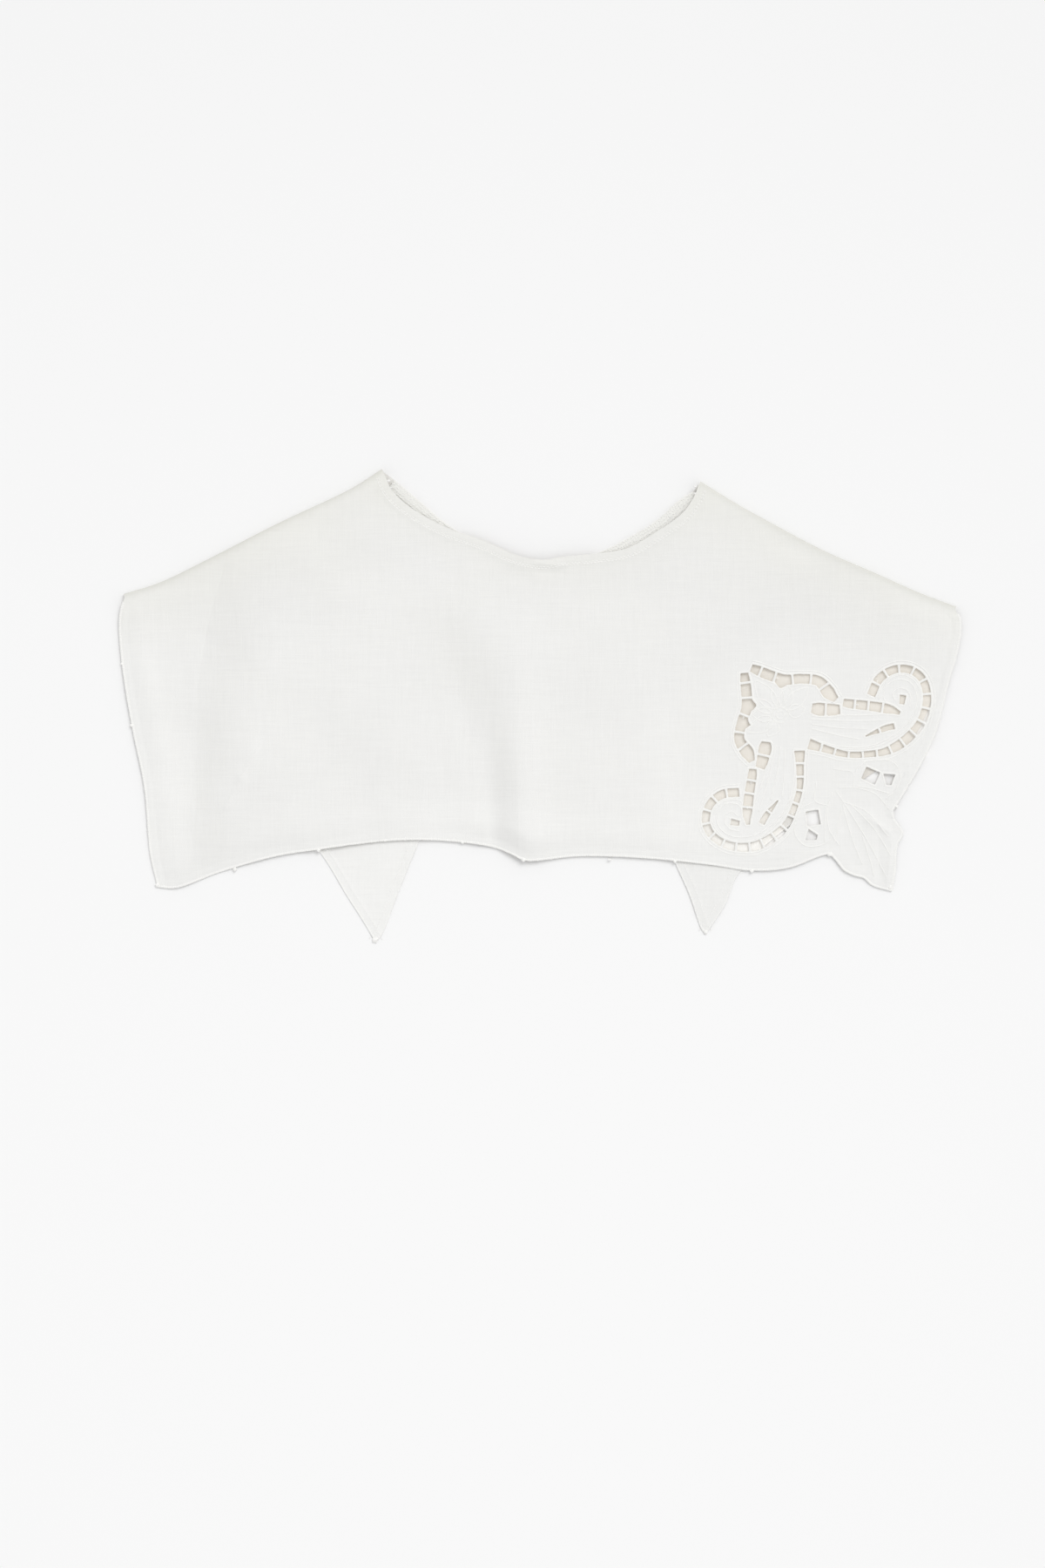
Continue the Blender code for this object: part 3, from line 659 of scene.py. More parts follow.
gridX, gridY, gridTops = solidTops()


def readTops(points):
    step = relief["step"]
    u = np.clip((points[:, 0] - gridX[0]) / step, 0, len(gridX) - 1.001)
    v = np.clip((points[:, 1] - gridY[0]) / step, 0, len(gridY) - 1.001)
    i, j = u.astype(int), v.astype(int)
    fu, fv = u - i, v - j
    return ((gridTops[i, j] * (1 - fu) + gridTops[i + 1, j] * fu) * (1 - fv)
            + (gridTops[i, j + 1] * (1 - fu) + gridTops[i + 1, j + 1] * fu) * fv)


foldLeft = smoothLine(pattern["shoulderLeft"], pattern["foldStep"])
foldRight = smoothLine(pattern["shoulderRight"], pattern["foldStep"])
axisLeft = beside(foldLeft, pattern["foldOutside"])
axisRight = beside(foldRight, -pattern["foldOutside"])
neckLine = smoothLine([axisLeft[0]] + pattern["neck"] + [axisRight[0]], pattern["edgeStep"])
sideLeftLine = smoothLine([axisLeft[-1]] + pattern["sideLeft"], pattern["edgeStep"])
hemLine = smoothLine(pattern["hem"], pattern["edgeStep"])
leafLowerLine = smoothLine(pattern["leafLower"], pattern["leafStep"])
leafUpperLine = smoothLine(pattern["leafUpper"], pattern["leafStep"])
sideRightLine = smoothLine(pattern["sideRight"] + [axisRight[-1]], pattern["edgeStep"])
hemmedEdges = [sideLeftLine, hemLine, sideRightLine]


def nearest(points, lines):
    return np.min([distanceTo(points, line) for line in lines], axis=0)


def foldShare(points):
    # how much of its height the shoulder's roll keeps
    least = pattern["foldLeast"]
    return least + (1 - least) * ease((pattern["foldEnd"] - abs(points[:, 0])) / pattern["foldTaper"])


def cutworkSink(points):
    # the weight of its stitches brings the cutwork down onto the layer below
    off = np.linalg.norm((points - onCloth(relief["cutworkMiddle"], 1)) / relief["cutworkReach"], axis=1)
    return relief["cutworkSink"] * (1 - ease((off - 0.75) / 0.5))


def hemRest(points):
    # how low a hem comes: on a front or on the surface
    away = np.full(len(points), np.inf)
    for cut in fronts.values():
        ring = np.array(cut["inner"] + cut["outer"] + cut["inner"][:1])
        away = np.minimum(away, np.where(within(points, ring), 0, distanceTo(points, ring)))
    onFront = np.maximum(1 - ease(away / relief["frontEase"]), cutworkSink(points) / relief["cutworkSink"])
    return relief["floorRest"] + (relief["frontRest"] - relief["floorRest"]) * onFront


def clothHeight(points):
    # the middle of the near layer's cloth
    points = np.atleast_2d(points)
    z = readTops(points) - relief["wall"] / 2
    z -= cutworkSink(points) * np.maximum(z - relief["cutworkRest"], 0)
    rest = hemRest(points)
    sewn = np.zeros(len(points))
    for line, share in zip(hemmedEdges, relief["hemShares"]):
        toHem = distanceTo(points, line)
        sink = relief["hemSink"] * (1 - ease(toHem / relief["hemSinkWidth"]))
        z -= sink * np.maximum(z - rest, 0)
        sewn += share * relief["hemHeight"] * (1 - ease((toHem - relief["hemWidth"]) / relief["hemEase"]))
        off = (toHem - relief["pressedAt"]) / relief["pressedWidth"]
        sewn -= share * relief["pressedLine"] * np.exp(-off ** 2)
    z += creaseHeights(points, creases)
    z += sum(height * unevenness(points, size, 0.37) for size, height in ripples)
    z = np.maximum(z, rest - relief["give"]) + sewn
    inMotif = np.linalg.norm(points - onCloth(relief["motifMiddle"], 1), axis=1) < relief["motifReach"]
    z[inMotif] += paddedHeights(points[inMotif])
    toNeck = distanceTo(points, neckLine)
    z += relief["neckHeight"] * (1 - ease((toNeck - relief["neckWidth"]) / relief["neckEase"]))
    for row in relief["neckRows"]:
        z -= relief["stitchedIn"] * np.exp(-((toNeck - row) / relief["rowWidth"]) ** 2)
    top = pattern["foldBottom"] + 2 * pattern["foldRadius"] * foldShare(points)
    z = top + (z - top) * ease(nearest(points, (axisLeft, axisRight)) / relief["shoulderBlend"])
    return np.maximum(z, relief["least"])


print("resting form read from the frame")


# Linen

linenLook = {
    "white": (0.922, 0.920, 0.903),
    "inside": (0.80, 0.74, 0.66),       # the wrong side, painted darker and warmer so that light bounced off it warms the shadows beneath, in place of light through the linen
    "yellowTint": (0.880, 0.875, 0.818),      # the yellow that the tint mixes in: along the folds and the neck, and with the painted shade
    "covered": (0.862, 0.831, 0.777),   # the fronts where the back panel lies over them, in painted shade: darker and warmer
    "threadPitch": 0.56,                # mm between threads
    "threadApart": 7.31,                # how far apart in the noise two neighbouring threads are read
    "slubLength": 22.0,
    "slubTone": 0.024,
    "slubBump": 0.9,
    "underShare": 0.45,                 # how far a thread dips where another crosses over it
    "wander": 1.1,                      # mm that the threads stray, in waves of the scale below
    "wanderScale": 42.0,
    # painted shade in the weave: the hollows between threads are darker by this
    "gapTone": 0.055,
    "blotchScale": 16.0,
    "blotchTone": 0.012,
    "blotchAged": 0.35,
    "shadeTone": 0.11,                  # what the painted shade takes off at 1
    "roughness": 0.88,
    "sheen": 0.12,
    "specular": 0.2,
    "bump": 0.10,                       # mm
    "bumpStrength": 0.7,
}


def threadNoise(tree, across, along, look):
    # uneven thickness of each thread: changes from thread to thread at once, and slowly along it
    number = maths(tree, "FLOOR", across)
    place = addNode(tree, "ShaderNodeCombineXYZ", {
        0: maths(tree, "MULTIPLY", number, look["threadApart"]),
        1: maths(tree, "MULTIPLY", along, 1.0 / (look["slubLength"] * mm)),
    })
    return addNode(tree, "ShaderNodeTexNoise", {"Vector": place.outputs[0], "Scale": 1.0, "Detail": 2.0,
                                                "Roughness": 0.55}, noise_dimensions="2D").outputs[0]


def threadRound(tree, across):
    return maths(tree, "ABSOLUTE", maths(tree, "SINE", maths(tree, "MULTIPLY", across, math.pi)))


def threadHeight(tree, own, other, look):
    # its own roundness, less where it dips under another
    dips = maths(tree, "MULTIPLY_ADD", other, look["underShare"], 1 - look["underShare"])
    return maths(tree, "MULTIPLY", own, dips)


def linen(name, colour, look):
    material, tree, surface, place = newMaterial(name, look)
    stray = addNode(tree, "ShaderNodeTexNoise", {"Vector": place, "Scale": look["wanderScale"],
                                                 "Detail": 1.0})
    stray = vectorMaths(tree, "SUBTRACT", {0: stray.outputs["Color"], 1: (0.5, 0.5, 0.5)})
    stray = vectorMaths(tree, "SCALE", {0: stray, 3: look["wander"] * mm})
    split = addNode(tree, "ShaderNodeSeparateXYZ", {0: vectorMaths(tree, "ADD", {0: place, 1: stray})})
    x, y = split.outputs[0], split.outputs[1]
    u = maths(tree, "DIVIDE", x, look["threadPitch"] * mm)
    v = maths(tree, "DIVIDE", y, look["threadPitch"] * mm)
    roundU, roundV = threadRound(tree, u), threadRound(tree, v)
    step = maths(tree, "ADD", maths(tree, "FLOOR", u), maths(tree, "FLOOR", v))
    over = maths(tree, "FLOORED_MODULO", step, 2.0)
    weave = addNode(tree, "ShaderNodeMix", {0: over, 2: threadHeight(tree, roundU, roundV, look),
                                            3: threadHeight(tree, roundV, roundU, look)}).outputs[0]
    slub = maths(tree, "ADD", threadNoise(tree, u, y, look), threadNoise(tree, v, x, look))
    slub = maths(tree, "SUBTRACT", slub, 1.0)
    blotch = maths(tree, "SUBTRACT", cloud(tree, place, look["blotchScale"], 3.0), 0.5)
    tone = maths(tree, "MULTIPLY_ADD", slub, 2 * look["slubTone"], 1.0)
    tone = maths(tree, "MULTIPLY_ADD", blotch, 2 * look["blotchTone"], tone)
    # painted shade in the weave's hollows: the lower between the threads, the darker
    gap = maths(tree, "SUBTRACT", 1.0, weave)
    tone = maths(tree, "SUBTRACT", tone, maths(tree, "MULTIPLY", gap, look["gapTone"]))
    shade = addNode(tree, "ShaderNodeAttribute", attribute_name="shade").outputs["Fac"]
    tone = maths(tree, "SUBTRACT", tone, maths(tree, "MULTIPLY", shade, look["shadeTone"]))
    # the yellow tint: along the folds and the neck, and the warm part of the painted shade
    yellowTint = addNode(tree, "ShaderNodeAttribute", attribute_name="yellowTint").outputs["Fac"]
    yellowTint = maths(tree, "ADD", yellowTint, maths(tree, "MULTIPLY", blotch, look["blotchAged"]))
    base = addNode(tree, "ShaderNodeMix", {0: yellowTint, 6: (*colour, 1), 7: (*look["yellowTint"], 1)},
                   data_type="RGBA", clamp_factor=True)
    colourSurface(tree, surface, base.outputs[2], tone)
    height = maths(tree, "MULTIPLY_ADD", slub, look["slubBump"], weave)
    bumpSurface(tree, surface, height, look["bump"], look["bumpStrength"])
    return material


linenOut = linen("linenOut", linenLook["white"], linenLook)
# the fronts' linen: its yellow tint is the darker, warmer colour of the painted shade under the back panel
linenUnder = linen("linenUnder", linenLook["white"], {**linenLook, "yellowTint": linenLook["covered"]})
linenIn = linen("linenIn", linenLook["inside"], linenLook)

threadLook = {
    "white": (0.955, 0.952, 0.93),
    "fibre": 0.05,       # mm
    "tone": 0.945,
    "fibreTone": 0.07,
    "wideScale": 120.0,
    "wideTone": 0.03,
    "roughness": 0.6,
    "sheen": 0.1,
    "specular": 0.25,
    "bump": 0.05,        # mm
    "bumpStrength": 0.6,
}


def thread(name, look):
    material, tree, surface, place = newMaterial(name, look)
    fine = cloud(tree, place, 1 / (4 * look["fibre"] * mm), 3.0)
    wide = cloud(tree, place, look["wideScale"], 1.0)
    tone = maths(tree, "MULTIPLY_ADD", fine, look["fibreTone"], look["tone"])
    tone = maths(tree, "MULTIPLY_ADD", wide, look["wideTone"], tone)
    colourSurface(tree, surface, look["white"], tone)
    bumpSurface(tree, surface, fine, look["bump"], look["bumpStrength"])
    return material


sewingThread = thread("sewingThread", threadLook)
print("materials made")


# Sheets of linen

cloth = {
    "thickness": 0.5,
    "grid": 2.8,
    "motifGrid": 1.3,
    "frontGrid": 3.2,
    "edgePitch": 0.8,        # spacing at which points too close to an edge are looked for
    "edgeClear": 0.65,       # and how far they stay from it at most
    "rowPitch": 1.6,
    "smoothBelow": 50.0,     # degrees
    # rows of points that keep the shape of a hem, of the neck's hem and of a crisp crease
    "hemRows": (0.9, 2.7, 3.4, 4.1, 5.1, 5.6, 6.1),
    "neckRows": (0.9, 2.4, 3.8, 4.3, 4.8, 5.3, 5.8, 6.9),
    "creaseRows": (-2.2, -1.2, -0.5, 0.0, 0.5, 1.2, 2.2),
    "crisp": 0.35,
}


def inArea(points, rings):
    # inside the first ring and outside the others
    keep = within(points, rings[0])
    for ring in rings[1:]:
        keep &= ~within(points, ring)
    return keep


def clearOf(points, others, reach):
    # the points that lie further than reach from all the others, sought in squares of 4 mm
    squares = {}
    for x, y in others:
        squares.setdefault((int(x // 4), int(y // 4)), []).append((x, y))
    free = []
    for x, y in points:
        i, j = int(x // 4), int(y // 4)
        near = [q for a in (i - 1, i, i + 1) for b in (j - 1, j, j + 1) for q in squares.get((a, b), ())]
        free.append(not near or min(math.hypot(x - q[0], y - q[1]) for q in near) > reach)
    return points[np.array(free)]


def evenPoints(low, high, size):
    # rows of points in even triangles over a box
    rows = []
    for k, y in enumerate(np.arange(low[1], high[1], size * math.sqrt(3) / 2)):
        xs = np.arange(low[0] + 0.5 * (k % 2) * size, high[0], size)
        rows.append(np.stack([xs, np.full(len(xs), y)], axis=1))
    return np.vstack(rows)


def fillArea(rings, grid, fine=None, fineGrid=None, rows=()):
    # triangles over the first ring less the others: even points, finer ones in one area, and given rows
    low, high = rings[0].min(0), rings[0].max(0)
    points = evenPoints(low, high, grid)
    if fine is not None:
        finer = evenPoints(low, high, fineGrid)
        points = np.vstack([points[~within(points, fine)], finer[within(finer, fine)]])
    rowPoints = np.vstack(rows)
    points = np.vstack([clearOf(points, rowPoints, 0.5 * grid), rowPoints])
    points = points[inArea(points, rings)]
    along = np.vstack([spaced(np.vstack([ring, ring[:1]]), cloth["edgePitch"]) for ring in rings])
    points = clearOf(points, along, cloth["edgeClear"])
    allPoints = [Vector(p) for ring in rings for p in ring] + [Vector(p) for p in points]
    edges, start = [], 0
    for ring in rings:
        edges += [(start + i, start + (i + 1) % len(ring)) for i in range(len(ring))]
        start += len(ring)
    spots, _, faces, origins, _, _ = delaunay_2d_cdt(allPoints, edges, [], 0, 0.00001)
    spots = np.array([tuple(p) for p in spots])
    faces = np.array([tuple(f) for f in faces])
    faces = faces[inArea(spots[faces].mean(1), rings)]
    a, b, c = (spots[faces[:, k]] for k in (0, 1, 2))
    turn = (b - a)[:, 0] * (c - a)[:, 1] - (b - a)[:, 1] * (c - a)[:, 0]
    faces[turn < 0] = faces[turn < 0][:, ::-1]
    return spots, faces, origins


def makePiece(name, points, faces, materials):
    # a mesh from points in mm on the pattern's axes
    points = np.array(points, float) - (*patternCentre, 0)
    mesh = bpy.data.meshes.new(name)
    mesh.from_pydata(points * mm, [], [tuple(int(i) for i in f) for f in faces])
    mesh.update()
    piece = bpy.data.objects.new(name, mesh)
    for material in materials:
        mesh.materials.append(material)
    bpy.context.scene.collection.objects.link(piece)
    return piece


def finishSheet(piece, thickness):
    pick(piece)
    wall = piece.modifiers.new("wall", "SOLIDIFY")
    wall.thickness = thickness * mm
    wall.offset = 0
    wall.material_offset = 1
    wall.material_offset_rim = 0
    bpy.ops.object.modifier_apply(modifier=wall.name)
    bpy.ops.object.shade_smooth_by_angle(angle=math.radians(cloth["smoothBelow"]))


def paint(piece, name, values):
    attribute = piece.data.attributes.new(name, "FLOAT", "POINT")
    attribute.data.foreach_set("value", np.array(values, np.float32))


# Painted shade on the near layer, darker where positive and a painted highlight where negative: (x, y, reach
# across, reach along, shade)
shadeSpots = [
    (-224, -50, 15, 50, -0.25), (-236, 24, 14, 40, -0.22), (200, -92, 26, 22, -0.05),
    (-182, 38, 17, 34, 0.26), (-194, -6, 11, 32, 0.15), (-199, -42, 11, 30, 0.21), (-199, -86, 15, 22, 0.24),
    (-169, -26, 3, 9, -0.2), (-176, -40, 3, 9, -0.2), (-184, -54, 3, 9, -0.15),
    (-150, 26, 15, 36, -0.08), (-124, -6, 8, 26, 0.05), (-111, -48, 8, 26, 0.08), (-140, -50, 15, 30, -0.10),
    (-50, 40, 20, 26, 0.22), (-35, 6, 15, 26, 0.20), (-21, -28, 8, 30, 0.16), (-21, -64, 8, 26, 0.12),
    (10, -74, 110, 16, -0.10), (-50, -66, 24, 26, -0.22), (-75, -30, 26, 40, -0.10),
    (52, 55, 30, 25, 0.10), (-118, 86, 20, 14, 0.12),
    (150, 84, 90, 34, 0.21), (0, 78, 80, 22, 0.15), (-170, 84, 90, 34, 0.23), (60, -70, 70, 30, -0.12),
]


shadeAndTint = {
    "foldShade": 1.3,            # painted shade along the rounded rim of the shoulder folds, and its reach
    "foldShadeReach": 2.4,
    "foldTint": 0.45,
    "foldTintReach": 22.0,
    "foldTintFall": 1.4,
    "neckTint": 0.3,
    "neckTintReach": 14.0,
    "shadeTint": 0.4,            # painted shade also tints the cloth yellow by this share
}


def shadeAt(points):
    out = np.zeros(len(points))
    for x, y, wide, tall, amount in shadeSpots:
        out += amount * np.exp(-((points[:, 0] - x) / wide) ** 2 - ((points[:, 1] - y) / tall) ** 2)
    # painted shade along the rim of the shoulder folds
    off = nearest(points, (foldLeft, foldRight)) / shadeAndTint["foldShadeReach"]
    return out + shadeAndTint["foldShade"] * np.exp(-off ** 2)


def tintAt(points):
    offFold = nearest(points, (foldLeft, foldRight)) / shadeAndTint["foldTintReach"]
    offNeck = distanceTo(points, neckLine) / shadeAndTint["neckTintReach"]
    return (shadeAndTint["foldTint"] * np.exp(-offFold ** shadeAndTint["foldTintFall"])
            + shadeAndTint["neckTint"] * np.exp(-offNeck ** 2))


def rowsBeside(line, offsets):
    return [spaced(beside(line, offset), cloth["rowPitch"]) for offset in offsets]


def creaseRows(crease):
    ends = np.array(crease[:2], float)
    run = ends[1] - ends[0]
    square = np.array((run[1], -run[0])) / np.linalg.norm(run)
    return [spaced(ends + square * shift, cloth["rowPitch"]) for shift in cloth["creaseRows"]]


def makeBack():
    outline = np.vstack([axisLeft, sideLeftLine[1:], hemLine[1:], leafLowerLine[1:], leafUpperLine[1:],
                         sideRightLine[1:], axisRight[::-1][1:], neckLine[::-1][1:-1]])
    motif = np.vstack([onCloth([(-38, 0), (-38, 100), (80, 100), (128, 0)], 1),
                       onCloth([(80, 100), (-38, 100)], -1)])
    rows = [row for line in hemmedEdges for row in rowsBeside(line, cloth["hemRows"])]
    rows += rowsBeside(neckLine, [-offset for offset in cloth["neckRows"]])
    rows += [row for crease in creases.values() if crease[6] > cloth["crisp"] for row in creaseRows(crease)]
    spots, faces, origins = fillArea([outline] + holes, cloth["grid"], motif, cloth["motifGrid"], rows)
    points = [np.column_stack([spots, clothHeight(spots)])]
    faces = [tuple(f) for f in faces]
    count = len(spots)
    whereNow = {old: new for new, olds in enumerate(origins) for old in olds}
    rightStart = len(outline) - (len(neckLine) - 2) - len(axisRight)
    steps, radius = pattern["foldSteps"], pattern["foldRadius"]
    for axis, outward, first in ((axisLeft, -leftNormals(foldLeft), 0),
                                 (axisRight[::-1], leftNormals(foldRight)[::-1], rightStart)):
        row = [whereNow[first + i] for i in range(len(axis))]
        share = foldShare(axis)
        points[0][row, 2] = pattern["foldBottom"] + 2 * radius * share
        for step in range(1, steps + 1):
            angle = math.pi * step / steps
            ring = axis + outward * radius * math.sin(angle)
            rise = pattern["foldBottom"] + radius * share * (1 + math.cos(angle))
            points.append(np.column_stack([ring, rise]))
            newRow = list(range(count, count + len(axis)))
            count += len(axis)
            for i in range(len(axis) - 1):
                faces.append((row[i + 1], row[i], newRow[i], newRow[i + 1]))
            row = newRow
    points = np.vstack(points)
    back = makePiece("backLinen", points, faces, [linenOut, linenIn])
    shade = shadeAt(points[:, :2])
    paint(back, "shade", shade)
    # the painted shade also tints the cloth yellow, on top of the tint along the folds and the neck
    paint(back, "yellowTint", tintAt(points[:, :2]) + shadeAndTint["shadeTint"] * np.maximum(shade, 0))
    finishSheet(back, cloth["thickness"])
    return back


back = makeBack()
print("back panel made", len(back.data.polygons))


# Fronts

frontForm = {
    "height": 0.38,
    "least": 0.3,
    "uneven": 0.12,
    "unevenSize": 14.0,
    "hemWidth": 5.0,
    "hemHeight": 0.16,
    "hemEase": 0.8,
    "hemLines": (1.5, 2.9),       # fine pressed lines in the hem
    "hemLineDepth": 0.13,
    "hemLineWidth": 0.45,
    "foldEase": 10.0,             # from the shoulder's roll down to the flat cloth
    "step": 2.0,
    "rows": (0.7, 1.5, 2.2, 2.9, 3.8, 4.8, 5.6, 6.4),
    "stitchRow": 4.4,             # from the edge
    "stitchedBelow": -60.0,       # only the points' edges are sewn, because the rest is covered
    "deepFrom": 62.0,             # that far in from the hem it is as dark as it gets,
    "deepFromNeck": 8.0,          # and that far in from the neck
    "coveredShade": 0.75,         # painted shade, darker and warmer, on the front where the back panel lies over it
    "coveredShadeTint": 1.3,
    "neckTint": 0.4,
    "neckTintReach": 20.0,
    # painted highlight: where the left front is not under the back panel it is painted lighter
    "pointShade": {"Left": -0.3, "Right": 0.0},
}
frontLifts = {                # the points lift off the surface a little
    "leftPoint": ((-84, -80), (-100, -128), 20, 20, 0.3, 0.1, 0),
    "rightPoint": ((92, -84), (100, -122), 20, 20, 0.3, 0.4, 0),
    "rightEdge": ((112, -92), (101, -134), 5, 6, 0.3, 0.4, 0),
}


def frontHeight(points, parts):
    z = np.full(len(points), frontForm["height"]) + creaseHeights(points, frontLifts)
    z += frontForm["uneven"] * unevenness(points, frontForm["unevenSize"], 2.7)
    for line in (parts["inner"], parts["outer"]):
        toEdge = distanceTo(points, line)
        z += frontForm["hemHeight"] * (1 - ease((toEdge - frontForm["hemWidth"]) / frontForm["hemEase"]))
        for at in frontForm["hemLines"]:
            z -= frontForm["hemLineDepth"] * np.exp(-((toEdge - at) / frontForm["hemLineWidth"]) ** 2)
    share = ease(distanceTo(points, parts["axis"]) / frontForm["foldEase"])
    return pattern["foldBottom"] + (np.maximum(z, frontForm["least"]) - pattern["foldBottom"]) * share


def makeFront(side, axis, turn):
    # turn is 1 where the cloth lies to the left of its edges as they are given, and -1 to the right
    cut, step = fronts[side], frontForm["step"]
    parts = {name: smoothLine(cut[name], step) for name in ("neck", "inner", "outer")}
    parts["axis"] = axis
    flat = np.vstack([axis, smoothLine([axis[-1]] + cut["outer"][::-1], step)[1:], parts["inner"][::-1][1:],
                      smoothLine(cut["neck"][::-1] + [axis[0]], step)[1:-1]])
    rows = [row for line in (parts["inner"], parts["outer"])
            for row in rowsBeside(line, [turn * offset for offset in frontForm["rows"]])]
    spots, faces, _ = fillArea([flat], cloth["frontGrid"], rows=rows)
    parts["height"] = lambda where: frontHeight(np.atleast_2d(where), parts)
    points = np.column_stack([spots, parts["height"](spots)])
    front = makePiece("frontLinen" + side, points, faces, [linenUnder, linenIn])
    # painted shade on the front under the back panel, deepest far in from the hem and the neck; elsewhere the
    # point shade
    toOutside = distanceTo(spots, np.vstack([hemLine, leafLowerLine])) / frontForm["deepFrom"]
    toNeck = distanceTo(spots, neckLine)
    covered = ((spots[:, 1] > np.interp(spots[:, 0], hemLine[:, 0], hemLine[:, 1]))
               & (spots[:, 1] < np.interp(spots[:, 0], neckLine[:, 0], neckLine[:, 1])))
    deep = np.where(covered, ease(np.minimum(toOutside, toNeck / frontForm["deepFromNeck"])), 0)
    paint(front, "shade", frontForm["coveredShade"] * deep + frontForm["pointShade"][side] * (1 - deep))
    nearNeck = 1 - ease(toNeck / frontForm["neckTintReach"])
    paint(front, "yellowTint", frontForm["coveredShadeTint"] * deep + frontForm["neckTint"] * nearNeck)
    finishSheet(front, cloth["thickness"])
    return front, parts


frontLeft, partsLeft = makeFront("Left", axisLeft, -1)
frontRight, partsRight = makeFront("Right", axisRight, 1)
print("fronts made")


# Facings inside the fronts' neckline

facing = {
    "width": 8.0,
    "height": 1.55,
    "thickness": 0.5,
    "rounding": 0.3,
    "uneven": 0.08,
    "unevenSize": 5.0,
    "step": 1.5,
    # painted highlight: the facings are painted a little lighter, and tinted yellow
    "shade": -0.1,
    "yellowTint": 0.45,
    "rows": (0.10, 0.30, 0.5, 0.72, 0.92),   # of stitches, at these shares of the width
    "stitchLift": 0.42,                      # of the middle row above the cloth, falling to its sides
    "stitchFall": 0.25,
}


def makeFacing(side, parts, turn):
    line = spaced(parts["neck"], facing["step"])
    rows, faces = [], []
    shares = np.linspace(0, 1, 8)
    for share in shares:
        ring = beside(line, turn * facing["width"] * share)
        puff = facing["rounding"] * math.sin(math.pi * share) ** 0.5 if 0 < share < 1 else 0
        uneven = facing["uneven"] * unevenness(ring, facing["unevenSize"], 4.1)
        rows.append(np.column_stack([ring, facing["height"] + puff + uneven]))
    count = len(line)
    for row in range(len(shares) - 1):
        for i in range(count - 1):
            a = row * count + i
            quad = (a, a + 1, a + count + 1, a + count)
            faces.append(quad if turn > 0 else quad[::-1])
    points = np.vstack(rows)
    piece = makePiece("facing" + side, points, faces, [linenOut, linenIn])
    for name in ("shade", "yellowTint"):
        paint(piece, name, np.full(len(points), facing[name]))
    finishSheet(piece, facing["thickness"])
    return piece


facingLeft = makeFacing("Left", partsLeft, -1)
facingRight = makeFacing("Right", partsRight, 1)
print("facings made")


# Stitches: one of each is modelled, and copies are laid along the lines

def modelStitch(name, sides, taper, bulge):
    # a short thread from -0.5 to 0.5 along X, 1 wide, its ends drawn in
    deselectAll()
    bpy.ops.mesh.primitive_cylinder_add(vertices=sides, radius=0.5, depth=bulge, end_fill_type="NGON",
                                        location=(0, 0, 0), rotation=(0, math.pi / 2, 0))
    stitch = bpy.context.active_object
    stitch.name = name
    bpy.ops.object.transform_apply(location=False, rotation=True, scale=False)
    for end in (-1, 1):
        bpy.ops.object.mode_set(mode="EDIT")
        bpy.ops.mesh.select_all(action="DESELECT")
        bpy.ops.object.mode_set(mode="OBJECT")
        for face in stitch.data.polygons:
            face.select = face.normal.x * end > 0.9
        bpy.ops.object.mode_set(mode="EDIT")
        bpy.ops.mesh.select_mode(type="FACE")
        bpy.ops.mesh.extrude_region_move(TRANSFORM_OT_translate={"value": (end * (1 - bulge) / 2, 0, 0)})
        bpy.ops.transform.resize(value=(1, taper, taper))
        bpy.ops.object.mode_set(mode="OBJECT")
    deselectAll()
    return stitch


def modelPicot():
    # a small loop of thread that stands out from the edge
    deselectAll()
    bpy.ops.mesh.primitive_torus_add(major_segments=12, minor_segments=6, major_radius=0.34,
                                     minor_radius=0.17, location=(0, 0, 0))
    picot = bpy.context.active_object
    picot.name = "picotModel"
    bpy.ops.object.mode_set(mode="EDIT")
    bpy.ops.mesh.select_all(action="SELECT")
    bpy.ops.transform.resize(value=(1.25, 0.9, 1))
    bpy.ops.object.mode_set(mode="OBJECT")
    deselectAll()
    return picot


def layCopies(name, model, places, material):
    # places: rows of (x, y, z, length, width, height, heading, pitch)
    base = np.array([v.co for v in model.data.vertices], float)
    loops = [list(p.vertices) for p in model.data.polygons]
    places = np.array(places, float)
    shape = base[None, :, :] * places[:, None, 3:6]
    ch, sh = np.cos(places[:, 6])[:, None], np.sin(places[:, 6])[:, None]
    cp, sp = np.cos(places[:, 7])[:, None], np.sin(places[:, 7])[:, None]
    x = shape[:, :, 0] * cp - shape[:, :, 2] * sp
    z = shape[:, :, 0] * sp + shape[:, :, 2] * cp
    y = shape[:, :, 1]
    points = np.stack([x * ch - y * sh, x * sh + y * ch, z], axis=2) + places[:, None, 0:3]
    faces = [[i + k * len(base) for i in loop] for k in range(len(places)) for loop in loops]
    piece = makePiece(name, points.reshape(-1, 3), faces, [material])
    pick(piece)
    bpy.ops.object.shade_smooth()
    deselectAll()
    return piece


def placeRows(spots, z, length, width, height, heading, pitch=0.0):
    # one row a copy, from arrays or single values
    values = [np.broadcast_to(value, len(spots)) for value in (z, length, width, height, heading, pitch)]
    return np.column_stack([spots] + values)


satinModel = modelStitch("satinModel", 6, 0.45, 0.6)
ropeModel = modelStitch("ropeModel", 6, 0.35, 0.45)
picotModel = modelPicot()
stitchNoise = np.random.default_rng(7)

